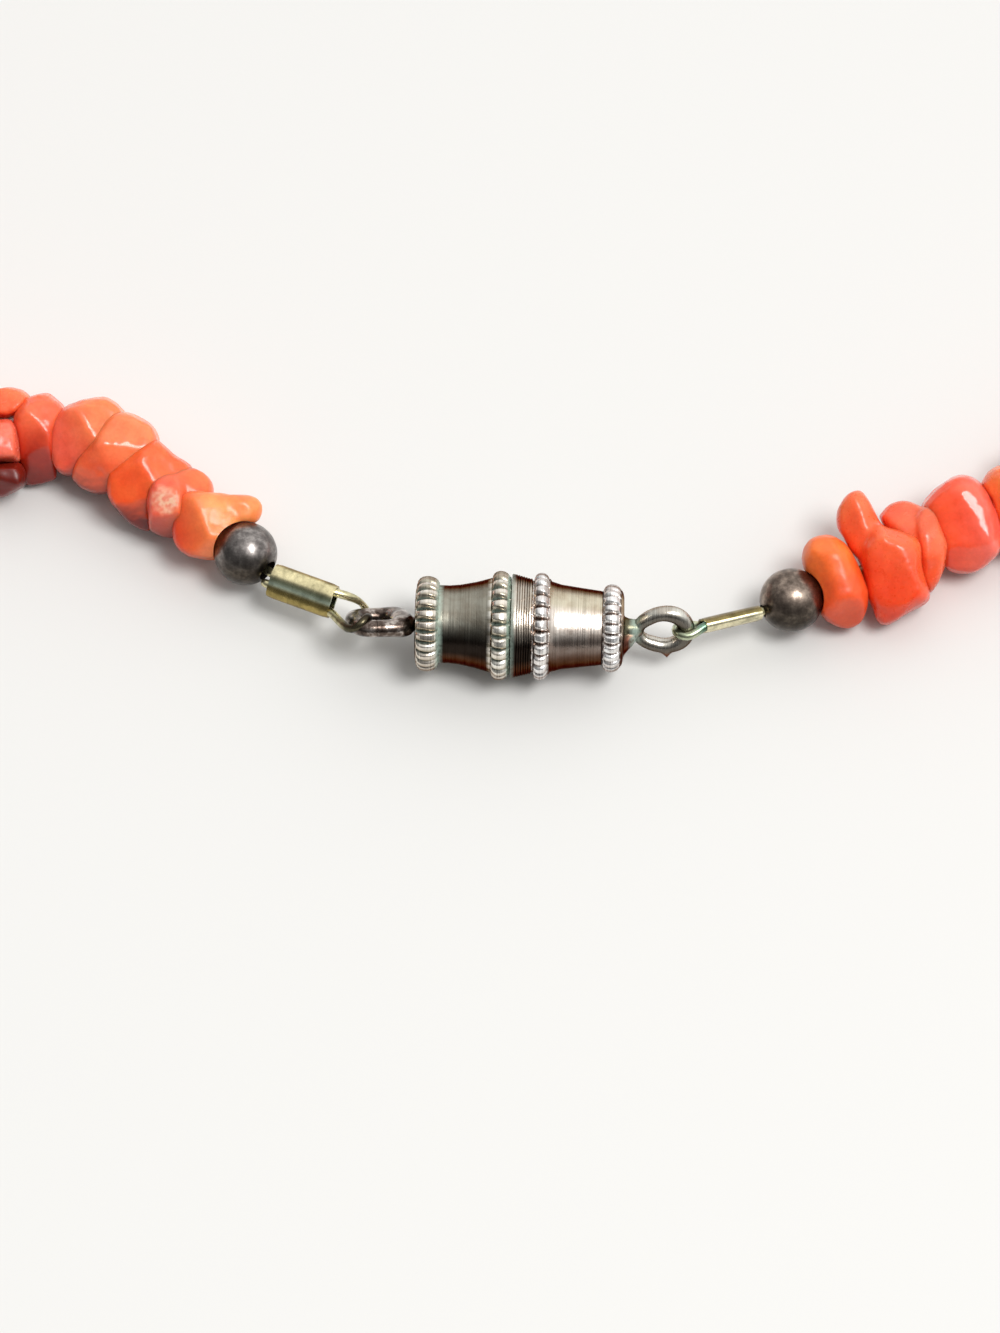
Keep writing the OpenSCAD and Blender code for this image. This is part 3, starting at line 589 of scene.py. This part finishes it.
def grindHidden(piece):
    centre = centreOf(piece)
    outwards = Vector((centre.x, centre.y, 0)).normalized()
    along = Vector((-outwards.y, outwards.x, 0))
    facets = hiddenChips["facets"]
    for k in range(facets):
        angle = 2 * math.pi * (k + random.random()) / facets
        lean = random.uniform(-hiddenChips["lean"], hiddenChips["lean"])
        normal = outwards * math.cos(angle) + Vector((0, 0, math.sin(angle))) + along * lean
        normal.normalize()
        reach = max((vertex.co - centre).dot(normal) for vertex in piece.data.vertices)
        share = random.uniform(*hiddenChips["reach"])
        cutAway(piece, centre + normal * reach * share, normal)
    tumble(piece, hiddenChips["voxel"], hiddenChips["rounds"], hiddenChips["grow"])
    first, second = random.sample(hiddenChips["tones"], 2)
    tone = (first, second, random.uniform(0, 360))
    toneChip(piece, centre, tone, random.uniform(*hiddenChips["polish"]))


for side, node in (("Left", "coral_chips_left"), ("Right", "coral_chips_right")):
    solids = sorted(looseSolids(node), key=fromClasp)
    for solid in solids[:seenCount[side]]:
        bpy.data.objects.remove(solid)
    rest = solids[seenCount[side]:]
    for solid in rest:
        grindHidden(solid)
    seen = [makeSeenChip(name, chip) for name, chip in seenChips.items()
            if (chip["at"][0] < 0) == (side == "Left")]
    for pieces, name in ((rest, "coralString" + side), (seen, "coralBesideClasp" + side)):
        string = joined(pieces, name)
        smoothTo(string, chipFinish["smooth"])
        showing(string, tumbledCoral, "coral", node)
print("Coral done")


# Lathe work: a filled circle is drawn out along x, and each step has its own radius

def turned(name, profile, sides):
    x, radius = profile[0]
    piece = startFrom(bpy.ops.mesh.primitive_circle_add, vertices=sides, radius=radius * mm,
                      fill_type="NGON", location=(x * mm, 0, 0), rotation=(0, math.pi / 2, 0))
    piece.name = name
    putDown(piece, Matrix())
    steps = []
    for nextX, nextRadius in profile[1:]:
        steps.append(drawOut((nextX - x) * mm, 0, 0))
        steps.append(resizeRound((nextX * mm, 0, 0), 1, nextRadius / radius, nextRadius / radius))
        x = nextX
        radius = nextRadius
    editAll(piece, *steps)
    facingOut(piece)
    return piece


def between(start, end, steps):  # even steps from one place to another, without the last
    return [(start[0] + (end[0] - start[0]) * k / steps, start[1] + (end[1] - start[1]) * k / steps)
            for k in range(steps)]


# A rim's place and width lie along the clasp. Its feet are the radii where it meets the body on the left
# and on the right, and its notches have a depth on each side and reach down to a lowest radius.
rims = {
    "leftEnd": {"place": -6.44, "width": 1.42, "radius": 2.98, "feet": (2.5, 2.44), "notch": (0.4, 0.16),
                "lowest": 2.42, "turn": 0.3, "tone": "#FFFCF2", "notchDirtAndShade": "#40382E", "toothShade": 0.75},
    "middle": {"place": -1.75, "width": 1.15, "radius": 3.42, "feet": (2.98, 3.1), "notch": (0.42, 0.18),
               "lowest": 2.96, "turn": 0.1, "tone": "#FFFCF2", "notchDirtAndShade": "#40382E", "toothShade": 0.75},
    "collar": {"place": 0.88, "width": 0.98, "radius": 3.36, "feet": (2.86, 3.02), "notch": (0.38, 0.24),
               "lowest": 2.84, "turn": 0.6, "tone": "#FFFFFF", "notchDirtAndShade": "#A89A92", "toothShade": 0.1},
    "rightEnd": {"place": 5.22, "width": 1.16, "radius": 2.75, "feet": (2.4, 2.5), "notch": (0.3, 0.2),
                 "lowest": 2.38, "turn": 0.4, "tone": "#FFFFFF", "notchDirtAndShade": "#A89A92", "toothShade": 0.1}}
rimShape = [(0.01, 0.5), (0.05, 0.3), (0.13, 0.15), (0.25, 0.05), (0.4, 0), (0.55, 0), (0.7, 0.04),
            (0.84, 0.13), (0.93, 0.24), (0.99, 0.38)]  # share of the width, and how far below the crest
mill = {"teeth": 24, "sides": 480, "grooveLeft": 0.72, "grooveRight": 0.45, "sharpness": 1.4, "reach": 0.52,
        "notched": (0.08, 0.26), "toothShade": "#A0987F", "toothShadeFrom": (0.45, 0.75), "smooth": 55}
# left, right, band and neck are the metal's own tones; the brown edge, low, top and solder tones paint
# reflection and shade
claspTones = {"left": "#A09D90", "right": "#EEE4DA", "band": "#D2CCC0", "brownEdgeReflection": "#5F483C",
              "leftLowShade": "#2B2521", "rightLowShade": "#9A8E87", "rightTopReflection": "#D8CFB8", "neck": "#6E6C58",
              "solder": "#664236"}
# Where each painted shade and reflection starts and where it is full, as heights on the camera's up axis in
# shares of the radius
claspPaintedLight = {"solder": (0.35, 0.75), "rimEdgeReflection": (0.9, 1), "rimShare": 0.35, "leftLowShade": (0.05, -0.45),
             "rightLowShade": (-0.15, -0.4), "rightTopReflection": (0.3, 0.55), "back": (0.76, 0.96),
             "leftUnderShade": (0.7, 0.88), "rightUnderShade": (0.45, 0.8)}
greenCrust = {"at": [(-4.96, 0.24), (-0.57, 0.18), (7.3, 0.3)], "notch": 0.2, "gain": 1.3, "most": 0.55}
neckFrom = 6.57
solder = {"from": 6.5, "to": 7.35, "foot": 1.95, "tip": 0.85, "hollow": 0.7, "low": (0.5, 0.98)}
stud = {"radius": 1.4, "length": 3.2, "gap": 0.12}
seamPlace = -0.6
bandEnd = 0.8
bandGrooves = {"from": (-0.2, 3.22), "to": (0.72, 2.98), "count": 6, "depth": 0.06}


def rimProfile(rim):  # a rounded bead round the body
    rows = [(share, rim["radius"] - drop) for share, drop in rimShape]
    rows = [(0, rim["feet"][0])] + rows + [(1, rim["feet"][1])]
    return [(rim["place"] + share * rim["width"], radius) for share, radius in rows]


def millTeeth(piece, rim, cuts):  # notches cut across the rim, deeper and wider on the left
    for number, vertex in enumerate(piece.data.vertices):
        x = vertex.co.x / mm
        radius = math.hypot(vertex.co.y, vertex.co.z) / mm
        share = (x - rim["place"]) / rim["width"]
        if not -0.001 <= share <= 1.001 or radius < rim["radius"] - mill["reach"]:
            continue
        phase = (math.atan2(vertex.co.z, vertex.co.y) * mill["teeth"] / (2 * math.pi) + rim["turn"]) % 1
        fromTooth = abs(phase - 0.5) * 2
        half = mill["grooveLeft"] + (mill["grooveRight"] - mill["grooveLeft"]) * share
        depth = rim["notch"][0] + (rim["notch"][1] - rim["notch"][0]) * share
        cut = depth * max(0, (fromTooth - (1 - half)) / half) ** mill["sharpness"]
        cut = min(cut, max(0, radius - rim["lowest"]))
        scale = (radius - cut) / radius
        vertex.co.y *= scale
        vertex.co.z *= scale
        toothShade = rim["toothShade"] * smoothStep(*mill["toothShadeFrom"], phase)  # painted shade on each tooth's lower side
        tone = shade(rim["tone"]).lerp(shade(mill["toothShade"]), toothShade)
        # the notch tone darkens the notches with dirt and painted shade
        cuts[number] = (smoothStep(*mill["notched"], cut), tone, shade(rim["notchDirtAndShade"]))


def paintClasp(piece, body, cuts):  # bright rims, dark notches, painted shade and brown reflections by height on the camera's up axis, and green crust by the rims
    tones = {name: shade(tone) for name, tone in claspTones.items()}
    for number, (vertex, entry) in enumerate(toneLayer(piece, "claspTone")):
        x = vertex.co.x / mm
        radius = math.hypot(vertex.co.y, vertex.co.z)
        height = vertex.co.dot(viewUp) / max(radius, 0.1 * mm)
        if x > neckFrom:
            # painted shade: the neck turns dark brown on its lower side
            colour = tones["neck"].lerp(tones["solder"], smoothStep(*claspPaintedLight["solder"], -height))
        elif number in cuts:
            cut, rimTone, notch = cuts[number]
            # painted brown reflection on the rims' top and bottom edges
            worn = claspPaintedLight["rimShare"] * smoothStep(*claspPaintedLight["rimEdgeReflection"], abs(height))
            colour = rimTone.lerp(tones["brownEdgeReflection"], worn).lerp(notch, cut)
        else:
            colour = tones["band" if seamPlace < x < bandEnd else body]
            if x < bandEnd:  # painted shade on the lower side
                colour = colour.lerp(tones["leftLowShade"], smoothStep(*claspPaintedLight["leftLowShade"], height))
                underShade = smoothStep(*claspPaintedLight["leftUnderShade"], -height)
            else:
                # painted shade on the lower side and painted reflection on the top
                colour = colour.lerp(tones["rightLowShade"], smoothStep(*claspPaintedLight["rightLowShade"], height))
                colour = colour.lerp(tones["rightTopReflection"], smoothStep(*claspPaintedLight["rightTopReflection"], height))
                underShade = smoothStep(*claspPaintedLight["rightUnderShade"], -height)
            # painted brown reflection at the top edge and on the underside
            colour = colour.lerp(tones["brownEdgeReflection"], max(smoothStep(*claspPaintedLight["back"], height), underShade))
        green = max(1 - abs(x - place) / reach for place, reach in greenCrust["at"])
        if number in cuts and x < 0:
            green = max(green, greenCrust["notch"] * cuts[number][0])
        colour[3] = min(greenCrust["most"], max(0, green * greenCrust["gain"]))
        entry.color = colour


leftEnd = rims["leftEnd"]
middle = rims["middle"]
socketRadius = stud["radius"] + stud["gap"]
leftProfile = (
    [(leftEnd["place"] - 0.06, 2.1), (leftEnd["place"], 2.3)]
    + rimProfile(leftEnd)
    + between((-4.98, 2.44), (-4.4, 2.43), 2) + between((-4.4, 2.43), (-3.7, 2.5), 3)
    + between((-3.7, 2.5), (-2.7, 2.7), 4) + between((-2.7, 2.7), (-1.78, 2.96), 4)
    + rimProfile(middle)
    + [(seamPlace + 0.07, 3.0), (seamPlace + 0.07, socketRadius),
       (seamPlace - stud["length"] - stud["gap"], socketRadius)])
leftHalf = turned("claspLeft", leftProfile, mill["sides"])
cuts = {}
for rim in (leftEnd, middle):
    millTeeth(leftHalf, rim, cuts)
paintClasp(leftHalf, "left", cuts)
smoothTo(leftHalf, mill["smooth"])

collar = rims["collar"]
rightEnd = rims["rightEnd"]
grooves = []
for k in range(bandGrooves["count"]):
    for part, sunk in ((0, 0), (0.3, 0), (0.5, 1), (0.7, 0)):
        share = (k + part) / bandGrooves["count"]
        x, radius = [low + (high - low) * share for low, high in zip(bandGrooves["from"], bandGrooves["to"])]
        grooves.append((x, radius - sunk * bandGrooves["depth"]))
rightProfile = (
    [(seamPlace - stud["length"], stud["radius"]), (seamPlace + stud["gap"], stud["radius"]),
     (seamPlace + stud["gap"], 3.22), (seamPlace + stud["gap"] + 0.04, 3.26)]
    + grooves + [(0.77, 2.98), (0.82, 2.86)]
    + rimProfile(collar)
    + [(1.92, 2.98), (2.02, 2.84)] + between((2.02, 2.84), (2.62, 2.66), 2)
    + between((2.62, 2.66), (3.92, 2.48), 5) + between((3.92, 2.48), (5.1, 2.33), 5)
    + [(5.1, 2.33), (5.2, 2.3)] + rimProfile(rightEnd)
    + [(6.4, 2.38), (6.46, 2.3), (6.52, 2.14), (6.56, 1.9), (6.58, 0.85), (6.64, 0.76), (6.85, 0.66),
       (7.15, 0.62), (7.4, 0.6), (7.7, 0.42)])
rightHalf = turned("claspRight", rightProfile, mill["sides"])
cuts = {}
for rim in (collar, rightEnd):
    millTeeth(rightHalf, rim, cuts)
for vertex in rightHalf.data.vertices:  # solder has run down from the neck over the end
    share = (vertex.co.x / mm - solder["from"]) / (solder["to"] - solder["from"])
    radius = math.hypot(vertex.co.y, vertex.co.z)
    reach = (solder["foot"] + (solder["tip"] - solder["foot"]) * max(0, share) ** solder["hollow"]) * mm
    if 0 <= share <= 1 and radius < reach:
        low = smoothStep(*solder["low"], -vertex.co.dot(viewUp) / radius)
        vertex.co.y *= 1 + (reach / radius - 1) * low
        vertex.co.z *= 1 + (reach / radius - 1) * low
paintClasp(rightHalf, "right", cuts)
smoothTo(rightHalf, mill["smooth"])

loops = {"segments": 96, "sides": 24, "smooth": 40}
ring = {"at": -8.68, "wire": 1.08, "width": 4.24, "tilt": -46, "turn": 12, "square": 3.4, "flat": 0.7,
        "thick": [(0, 1.6), (45, 1.45), (85, 1.08), (275, 1.08), (315, 1.45), (360, 1.6)],
        "seam": (-0.55, -1.6), "seamWidth": 0.035, "seamReach": 1.3,
        "stub": [(-6.75, 0.36), (-6.4, 0.5)]}
eye = {"at": 9.0, "wire": 0.9, "width": 3.66, "tilt": 67, "turn": 9, "stretch": 1.1, "narrow": 0.93,
       "pear": 0.14, "flat": 1,
       "thick": [(0, 0.95), (60, 1.04), (110, 1.0), (180, 0.76), (240, 1.0), (300, 1.0), (360, 0.95)],
       "spurAt": 270, "spur": 0.42, "spurReach": 14, "tone": "#DCDAD0", "low": "#4A423A", "burr": "#8A5A46",
       "lowFrom": (0.1, -0.6), "lowShare": 0.85, "bottomShadeFrom": (-1.4, -1.7), "crust": 0.4,
       "crustFrom": (7.8, 7.3)}


def thicknessAt(loop, angle):
    for (low, first), (high, second) in zip(loop["thick"], loop["thick"][1:]):
        if angle <= high:
            return first + (second - first) * smoothStep(low, high, angle)


def bentRing(loop):  # a bent wire ring, filed to a different thickness along its way round
    outer = loop["width"] / 2 * mm
    piece = startFrom(bpy.ops.mesh.primitive_torus_add, major_segments=loops["segments"],
                      minor_segments=loops["sides"], major_radius=outer - loop["wire"] / 2 * mm,
                      minor_radius=loop["wire"] / 2 * mm)
    for vertex in piece.data.vertices:
        radius = vertex.co.xy.length
        angle = math.degrees(math.atan2(vertex.co.y, vertex.co.x)) % 360
        thick = thicknessAt(loop, angle) / loop["wire"]
        newRadius = outer - (outer - radius) * thick
        vertex.co.x *= newRadius / radius
        vertex.co.y *= newRadius / radius
        vertex.co.z *= 1 + (thick - 1) * loop["flat"]
    return piece


def setLoop(piece, loop):  # on the clasp's axis, leaning round it
    lean = Matrix.Rotation(math.radians(loop["tilt"]), 4, "X")
    turn = Matrix.Rotation(math.radians(loop["turn"]), 4, "Z")
    putDown(piece, Matrix.Translation((loop["at"] * mm, 0, 0)) @ lean @ turn)
    smoothTo(piece, loops["smooth"])


ringPiece = bentRing(ring)
for vertex in ringPiece.data.vertices:  # pulled a little square by the wire
    way = vertex.co.xy.normalized()
    pull = (abs(way.x) ** ring["square"] + abs(way.y) ** ring["square"]) ** (-1 / ring["square"])
    vertex.co.x *= pull
    vertex.co.y *= pull
saw = startFrom(bpy.ops.mesh.primitive_cube_add, size=1,
                location=(ring["seam"][0] * mm, ring["seam"][1] * mm, 0))
saw.scale = (ring["seamWidth"] * mm, ring["seamReach"] * mm, ring["seamReach"] * mm)
finishWith(ringPiece, "BOOLEAN", object=saw, operation="DIFFERENCE", solver="EXACT")
bpy.data.objects.remove(saw)
setLoop(ringPiece, ring)
inRing = ring["at"] + (ring["width"] - ring["wire"]) / 2 - 0.1
stub = turned("stub", [(inRing, 0.3)] + ring["stub"], loops["sides"])
smoothTo(stub, loops["smooth"])

eyePiece = bentRing(eye)
outer = eye["width"] / 2 * mm
for vertex in eyePiece.data.vertices:  # pear-shaped towards the neck, with a burr left at the bottom
    angle = math.degrees(math.atan2(vertex.co.y, vertex.co.x)) % 360
    radius = vertex.co.xy.length
    burr = max(0, 1 - abs(angle - eye["spurAt"]) / eye["spurReach"]) ** 2
    outside = smoothStep(outer - eye["wire"] / 2 * mm, outer, radius)
    longer = 1 + burr * outside * eye["spur"] * mm / radius
    vertex.co.x *= longer * eye["stretch"]
    vertex.co.y *= longer * eye["narrow"] * (1 + eye["pear"] * math.cos(math.radians(angle)))
setLoop(eyePiece, eye)
for vertex, entry in toneLayer(eyePiece, "claspTone"):  # painted shade: darker where it faces down, and dark brown at the bottom and on the burr
    low = eye["lowShare"] * smoothStep(*eye["lowFrom"], vertex.normal.dot(viewUp))
    brown = smoothStep(*eye["bottomShadeFrom"], vertex.co.dot(viewUp) / mm)
    colour = shade(eye["tone"]).lerp(shade(eye["low"]), low).lerp(shade(eye["burr"]), brown)
    colour[3] = eye["crust"] * smoothStep(*eye["crustFrom"], vertex.co.x / mm)
    entry.color = colour

for parts, name, material, slotName, node in (
        ([leftHalf], "claspLeft", turnedSilver, "clasp_silver", "clasp_left"),
        ([rightHalf, eyePiece], "claspRight", turnedSilver, "clasp_silver", "clasp_right"),
        ([ringPiece, stub], "claspRing", rubbedSilver, "dark_silver", "clasp_left")):
    piece = joined(parts, name)
    putDown(piece, claspMatrix)
    showing(piece, material, slotName, node)
print("Clasp done")


# Silver beads: a sphere whose poles are opened and joined by the drilled hole

def makeBead(side):
    bead = beads[side]
    piece = startFrom(bpy.ops.mesh.primitive_uv_sphere_add, segments=beads["segments"],
                      ring_count=beads["rings"], radius=beads["radius"] * mm)
    bpy.ops.object.mode_set(mode="EDIT")
    bpy.ops.mesh.select_mode(type="VERT")
    bpy.ops.mesh.select_all(action="DESELECT")
    bpy.ops.object.mode_set(mode="OBJECT")
    for vertex in piece.data.vertices:
        vertex.select = math.hypot(vertex.co.x, vertex.co.y) < bead["hole"] * mm
    bpy.ops.object.mode_set(mode="EDIT")
    bpy.ops.mesh.delete(type="VERT")
    bpy.ops.mesh.select_non_manifold()
    bpy.ops.mesh.bridge_edge_loops()
    bpy.ops.object.mode_set(mode="OBJECT")
    facingOut(piece)
    turn = math.radians(bead["turn"])
    axis = Vector((math.cos(turn), math.sin(turn), 0))
    turn = Vector((0, 0, 1)).rotation_difference(axis).to_matrix().to_4x4()
    putDown(piece, Matrix.Translation(Vector(bead["at"]) * mm) @ turn)
    piece = joined([piece], "silverBead" + side)
    for vertex, entry in toneLayer(piece, "metalTone"):  # painted shade: darker towards the underside
        low = smoothStep(*beads["lowFrom"], vertex.normal.dot(viewUp))
        entry.color = shade(bead["beadTint"]).lerp(shade(beads["paintedUnderShade"]), low)
    smoothTo(piece, beads["smooth"])
    showing(piece, oxidisedSilver, "dark_silver", "silver_bead_" + side.lower())


# Crimp tubes: drawn tube pressed flat round the doubled wire, with a shallow dent along its middle
tubes = {"wide": 2.2, "wall": 0.14, "sides": 64, "steps": 24, "squash": 0.9, "dent": 0.06, "dentWidth": 0.35,
         "lip": -0.04, "lipReach": (0.05, 0.35), "smooth": 40,
         "Left": {"from": (-15.5, -61.06, 2.9), "to": (-11.65, -62.84, 3.2), "wideWay": (0, 0.87, 0.5),
                  "thick": 1.4, "side": 0,
                  "reflectionBands": [(-1.1, "#8E7A46"), (-0.92, "#AE9B60"), (-0.45, "#AE9B60"), (-0.15, "#B4C2AE"),
                            (0.1, "#A4AC8C"), (0.42, "#FFF2C0"), (0.92, "#FFF2C0"), (1.1, "#A88C4C")]},
         "Right": {"from": (15, -63.4, 2.8), "to": (11.5, -64.6, 3.25), "wideWay": (0, -0.5, 0.87),
                   "thick": 1.02, "side": 1,
                   "reflectionBands": [(-0.5, "#A88C4C"), (-0.4, "#FFF6D0"), (-0.02, "#FFF6D0"), (0.1, "#9C8C5C"),
                             (0.5, "#8A7A50")]}}


def reflectionBandTone(reflectionBands, place):  # the tone at a place across the tube: painted reflections and shade, with grey-green tarnish in the dent
    for (low, first), (high, second) in zip(reflectionBands, reflectionBands[1:]):
        if place <= high:
            break
    return shade(first).lerp(shade(second), smoothStep(low, high, place))


def makeTube(side):
    tube = tubes[side]
    start = Vector(tube["from"]) * mm
    along = Vector(tube["to"]) * mm - start
    length = along.length
    along.normalize()
    wideWay = Vector(tube["wideWay"])
    wideWay = (wideWay - along * wideWay.dot(along)).normalized()
    halfThick = tube["thick"] / 2
    piece = startFrom(bpy.ops.mesh.primitive_circle_add, vertices=tubes["sides"], radius=mm,
                      fill_type="NOTHING")
    for vertex in piece.data.vertices:
        angle = math.atan2(vertex.co.y, vertex.co.x)
        wide = tubes["wide"] / 2 * math.cos(angle)
        thick = halfThick * math.copysign(abs(math.sin(angle)) ** tubes["squash"], math.sin(angle))
        dent = tubes["dent"] * max(0, 1 - (wide / tubes["dentWidth"]) ** 2)
        vertex.co = Vector((wide, thick - math.copysign(dent, thick), 0)) * mm
    editAll(piece, *[drawOut(0, 0, length / tubes["steps"])] * tubes["steps"])
    lipFrom, lipTo = tubes["lipReach"]
    for vertex in piece.data.vertices:
        end = min(vertex.co.z, length - vertex.co.z)
        grow = 1 + tubes["lip"] * (1 - smoothStep(lipFrom * mm, lipTo * mm, end))
        vertex.co.x *= grow
        vertex.co.y *= grow
    facingOut(piece)
    finishWith(piece, "SOLIDIFY", thickness=tubes["wall"] * mm, offset=-1)
    # painted reflections and shade across the tube, from its bands
    for vertex, entry in toneLayer(piece, "metalTone"):
        entry.color = reflectionBandTone(tube["reflectionBands"], vertex.co[tube["side"]] / mm)
    putDown(piece, Matrix.Translation(start) @ frameOf(wideWay, along.cross(wideWay), along))
    piece = joined([piece], "crimpTube" + side)
    smoothTo(piece, tubes["smooth"])
    showing(piece, pressedBrass, "brass", "crimp_tube_" + side.lower())


for side in ("Left", "Right"):
    makeBead(side)
    makeTube(side)

# The wire keeps its way in the frame, rounded off
wireFinish = {"swell": 0.1, "smooth": 60, "gold": "#DAD2A8", "stainEdge": (0.6, 1.1),
              "shadeAndStains": [((-9.8, -0.6, 0.9), 1.6, "#352C22"), ((10.5, 0, 0.1), 1.3, "#C6CFB2"),
                         ((11.5, 0.1, 0.2), 0.7, "#84A892")]}
wire = joined(looseSolids("stringing_wire"), "stringingWire")
editAll(wire, (bpy.ops.mesh.tris_convert_to_quads, {}))
finishWith(wire, "SUBSURF", levels=1, render_levels=1)
finishWith(wire, "DISPLACE", strength=wireFinish["swell"] * mm, mid_level=0)
for vertex, entry in toneLayer(wire, "metalTone"):  # painted shade where it wraps the ring, and green crust in the eye
    colour = shade(wireFinish["gold"])
    for place, reach, tone in wireFinish["shadeAndStains"]:
        near = (vertex.co - claspMatrix @ (Vector(place) * mm)).length / (reach * mm)
        colour = colour.lerp(shade(tone), 1 - smoothStep(*wireFinish["stainEdge"], near))
    entry.color = colour
smoothTo(wire, wireFinish["smooth"])
showing(wire, drawnWire, "brass_wire", "stringing_wire")
print("Findings done")


# The stage: a pale floor, one soft key light from the right, and a dim sky

stage = {"floor": 3.0, "floorColour": "#DEDDDA", "grain": 2.0, "grainDepth": 0.02, "grainBump": 0.03,
         "keyWay": (0.36, -0.2, 0.92), "keyDistance": 0.9, "keySize": 0.34, "keyPower": 5.2,
         "skyWay": (0.4, 0.5, 0.77), "skyEdge": (-0.1, 0.95), "skyLow": 0.17, "skyHigh": 1.1}

floor = startFrom(bpy.ops.mesh.primitive_plane_add, size=stage["floor"], location=(0, 0, 0))
floor.name = "floor"
# Matt painted board, with the faint unevenness of its roller
floorPaint = newMaterial("mattPaintedBoard")
boardPlace = addNode(floorPaint, "ShaderNodeTexCoord").outputs["Object"]
roller = addNode(floorPaint, "ShaderNodeTexNoise", {"Scale": 1 / (stage["grain"] * mm), "Detail": 2},
                 {"Vector": boardPlace})
rollerBump = addNode(floorPaint, "ShaderNodeBump", {
    "Strength": stage["grainBump"], "Distance": stage["grainDepth"] * mm}, {"Height": roller})
board = addNode(floorPaint, "ShaderNodeBsdfPrincipled", {
    "Base Color": shade(stage["floorColour"]), "Roughness": 0.9, "Specular IOR Level": 0.1},
    {"Normal": rollerBump})
addNode(floorPaint, "ShaderNodeOutputMaterial", links={"Surface": board})
floor.data.materials.append(floorPaint)

target = Vector(view["middle"]) * mm
keyWay = Vector(stage["keyWay"]).normalized()
keyLight = bpy.data.lights.new("keyLight", "AREA")
keyLight.size = stage["keySize"]
keyLight.energy = stage["keyPower"]
key = bpy.data.objects.new("keyLight", keyLight)
key.location = target + keyWay * stage["keyDistance"]
key.rotation_euler = keyWay.to_track_quat("Z", "Y").to_euler()
bpy.context.scene.collection.objects.link(key)

sky = bpy.data.worlds.new("studioSky")
sky.use_nodes = True
sky.node_tree.nodes.clear()
skyWay = addNode(sky, "ShaderNodeTexCoord").outputs["Generated"]
skySide = addNode(sky, "ShaderNodeVectorMath", {1: Vector(stage["skyWay"]).normalized()}, {0: skyWay},
                  operation="DOT_PRODUCT").outputs["Value"]
skyFrom, skyTo = stage["skyEdge"]
skyLevel = addNode(sky, "ShaderNodeMapRange", {
    "From Min": skyFrom, "From Max": skyTo, "To Min": stage["skyLow"], "To Max": stage["skyHigh"]},
    {"Value": skySide}, interpolation_type="SMOOTHSTEP")
skyGlow = addNode(sky, "ShaderNodeBackground", {"Color": (1, 1, 1, 1)}, {"Strength": skyLevel})
addNode(sky, "ShaderNodeOutputWorld", links={"Surface": skyGlow})
bpy.context.scene.world = sky

lens = bpy.data.cameras.new("camera")
lens.sensor_fit = "HORIZONTAL"
lens.sensor_width = view["sensor"]
lens.lens = view["sensor"] * view["distance"] / view["frameWidth"]
lens.clip_start = 0.01
camera = bpy.data.objects.new("camera", lens)
camera.matrix_world = Matrix.Translation(target + viewTowards * view["distance"] * mm) @ frameOf(
    viewRight, viewUp, viewTowards)
bpy.context.scene.collection.objects.link(camera)
bpy.context.scene.camera = camera
bpy.context.scene.view_settings.view_transform = "Standard"
print("Stage set")
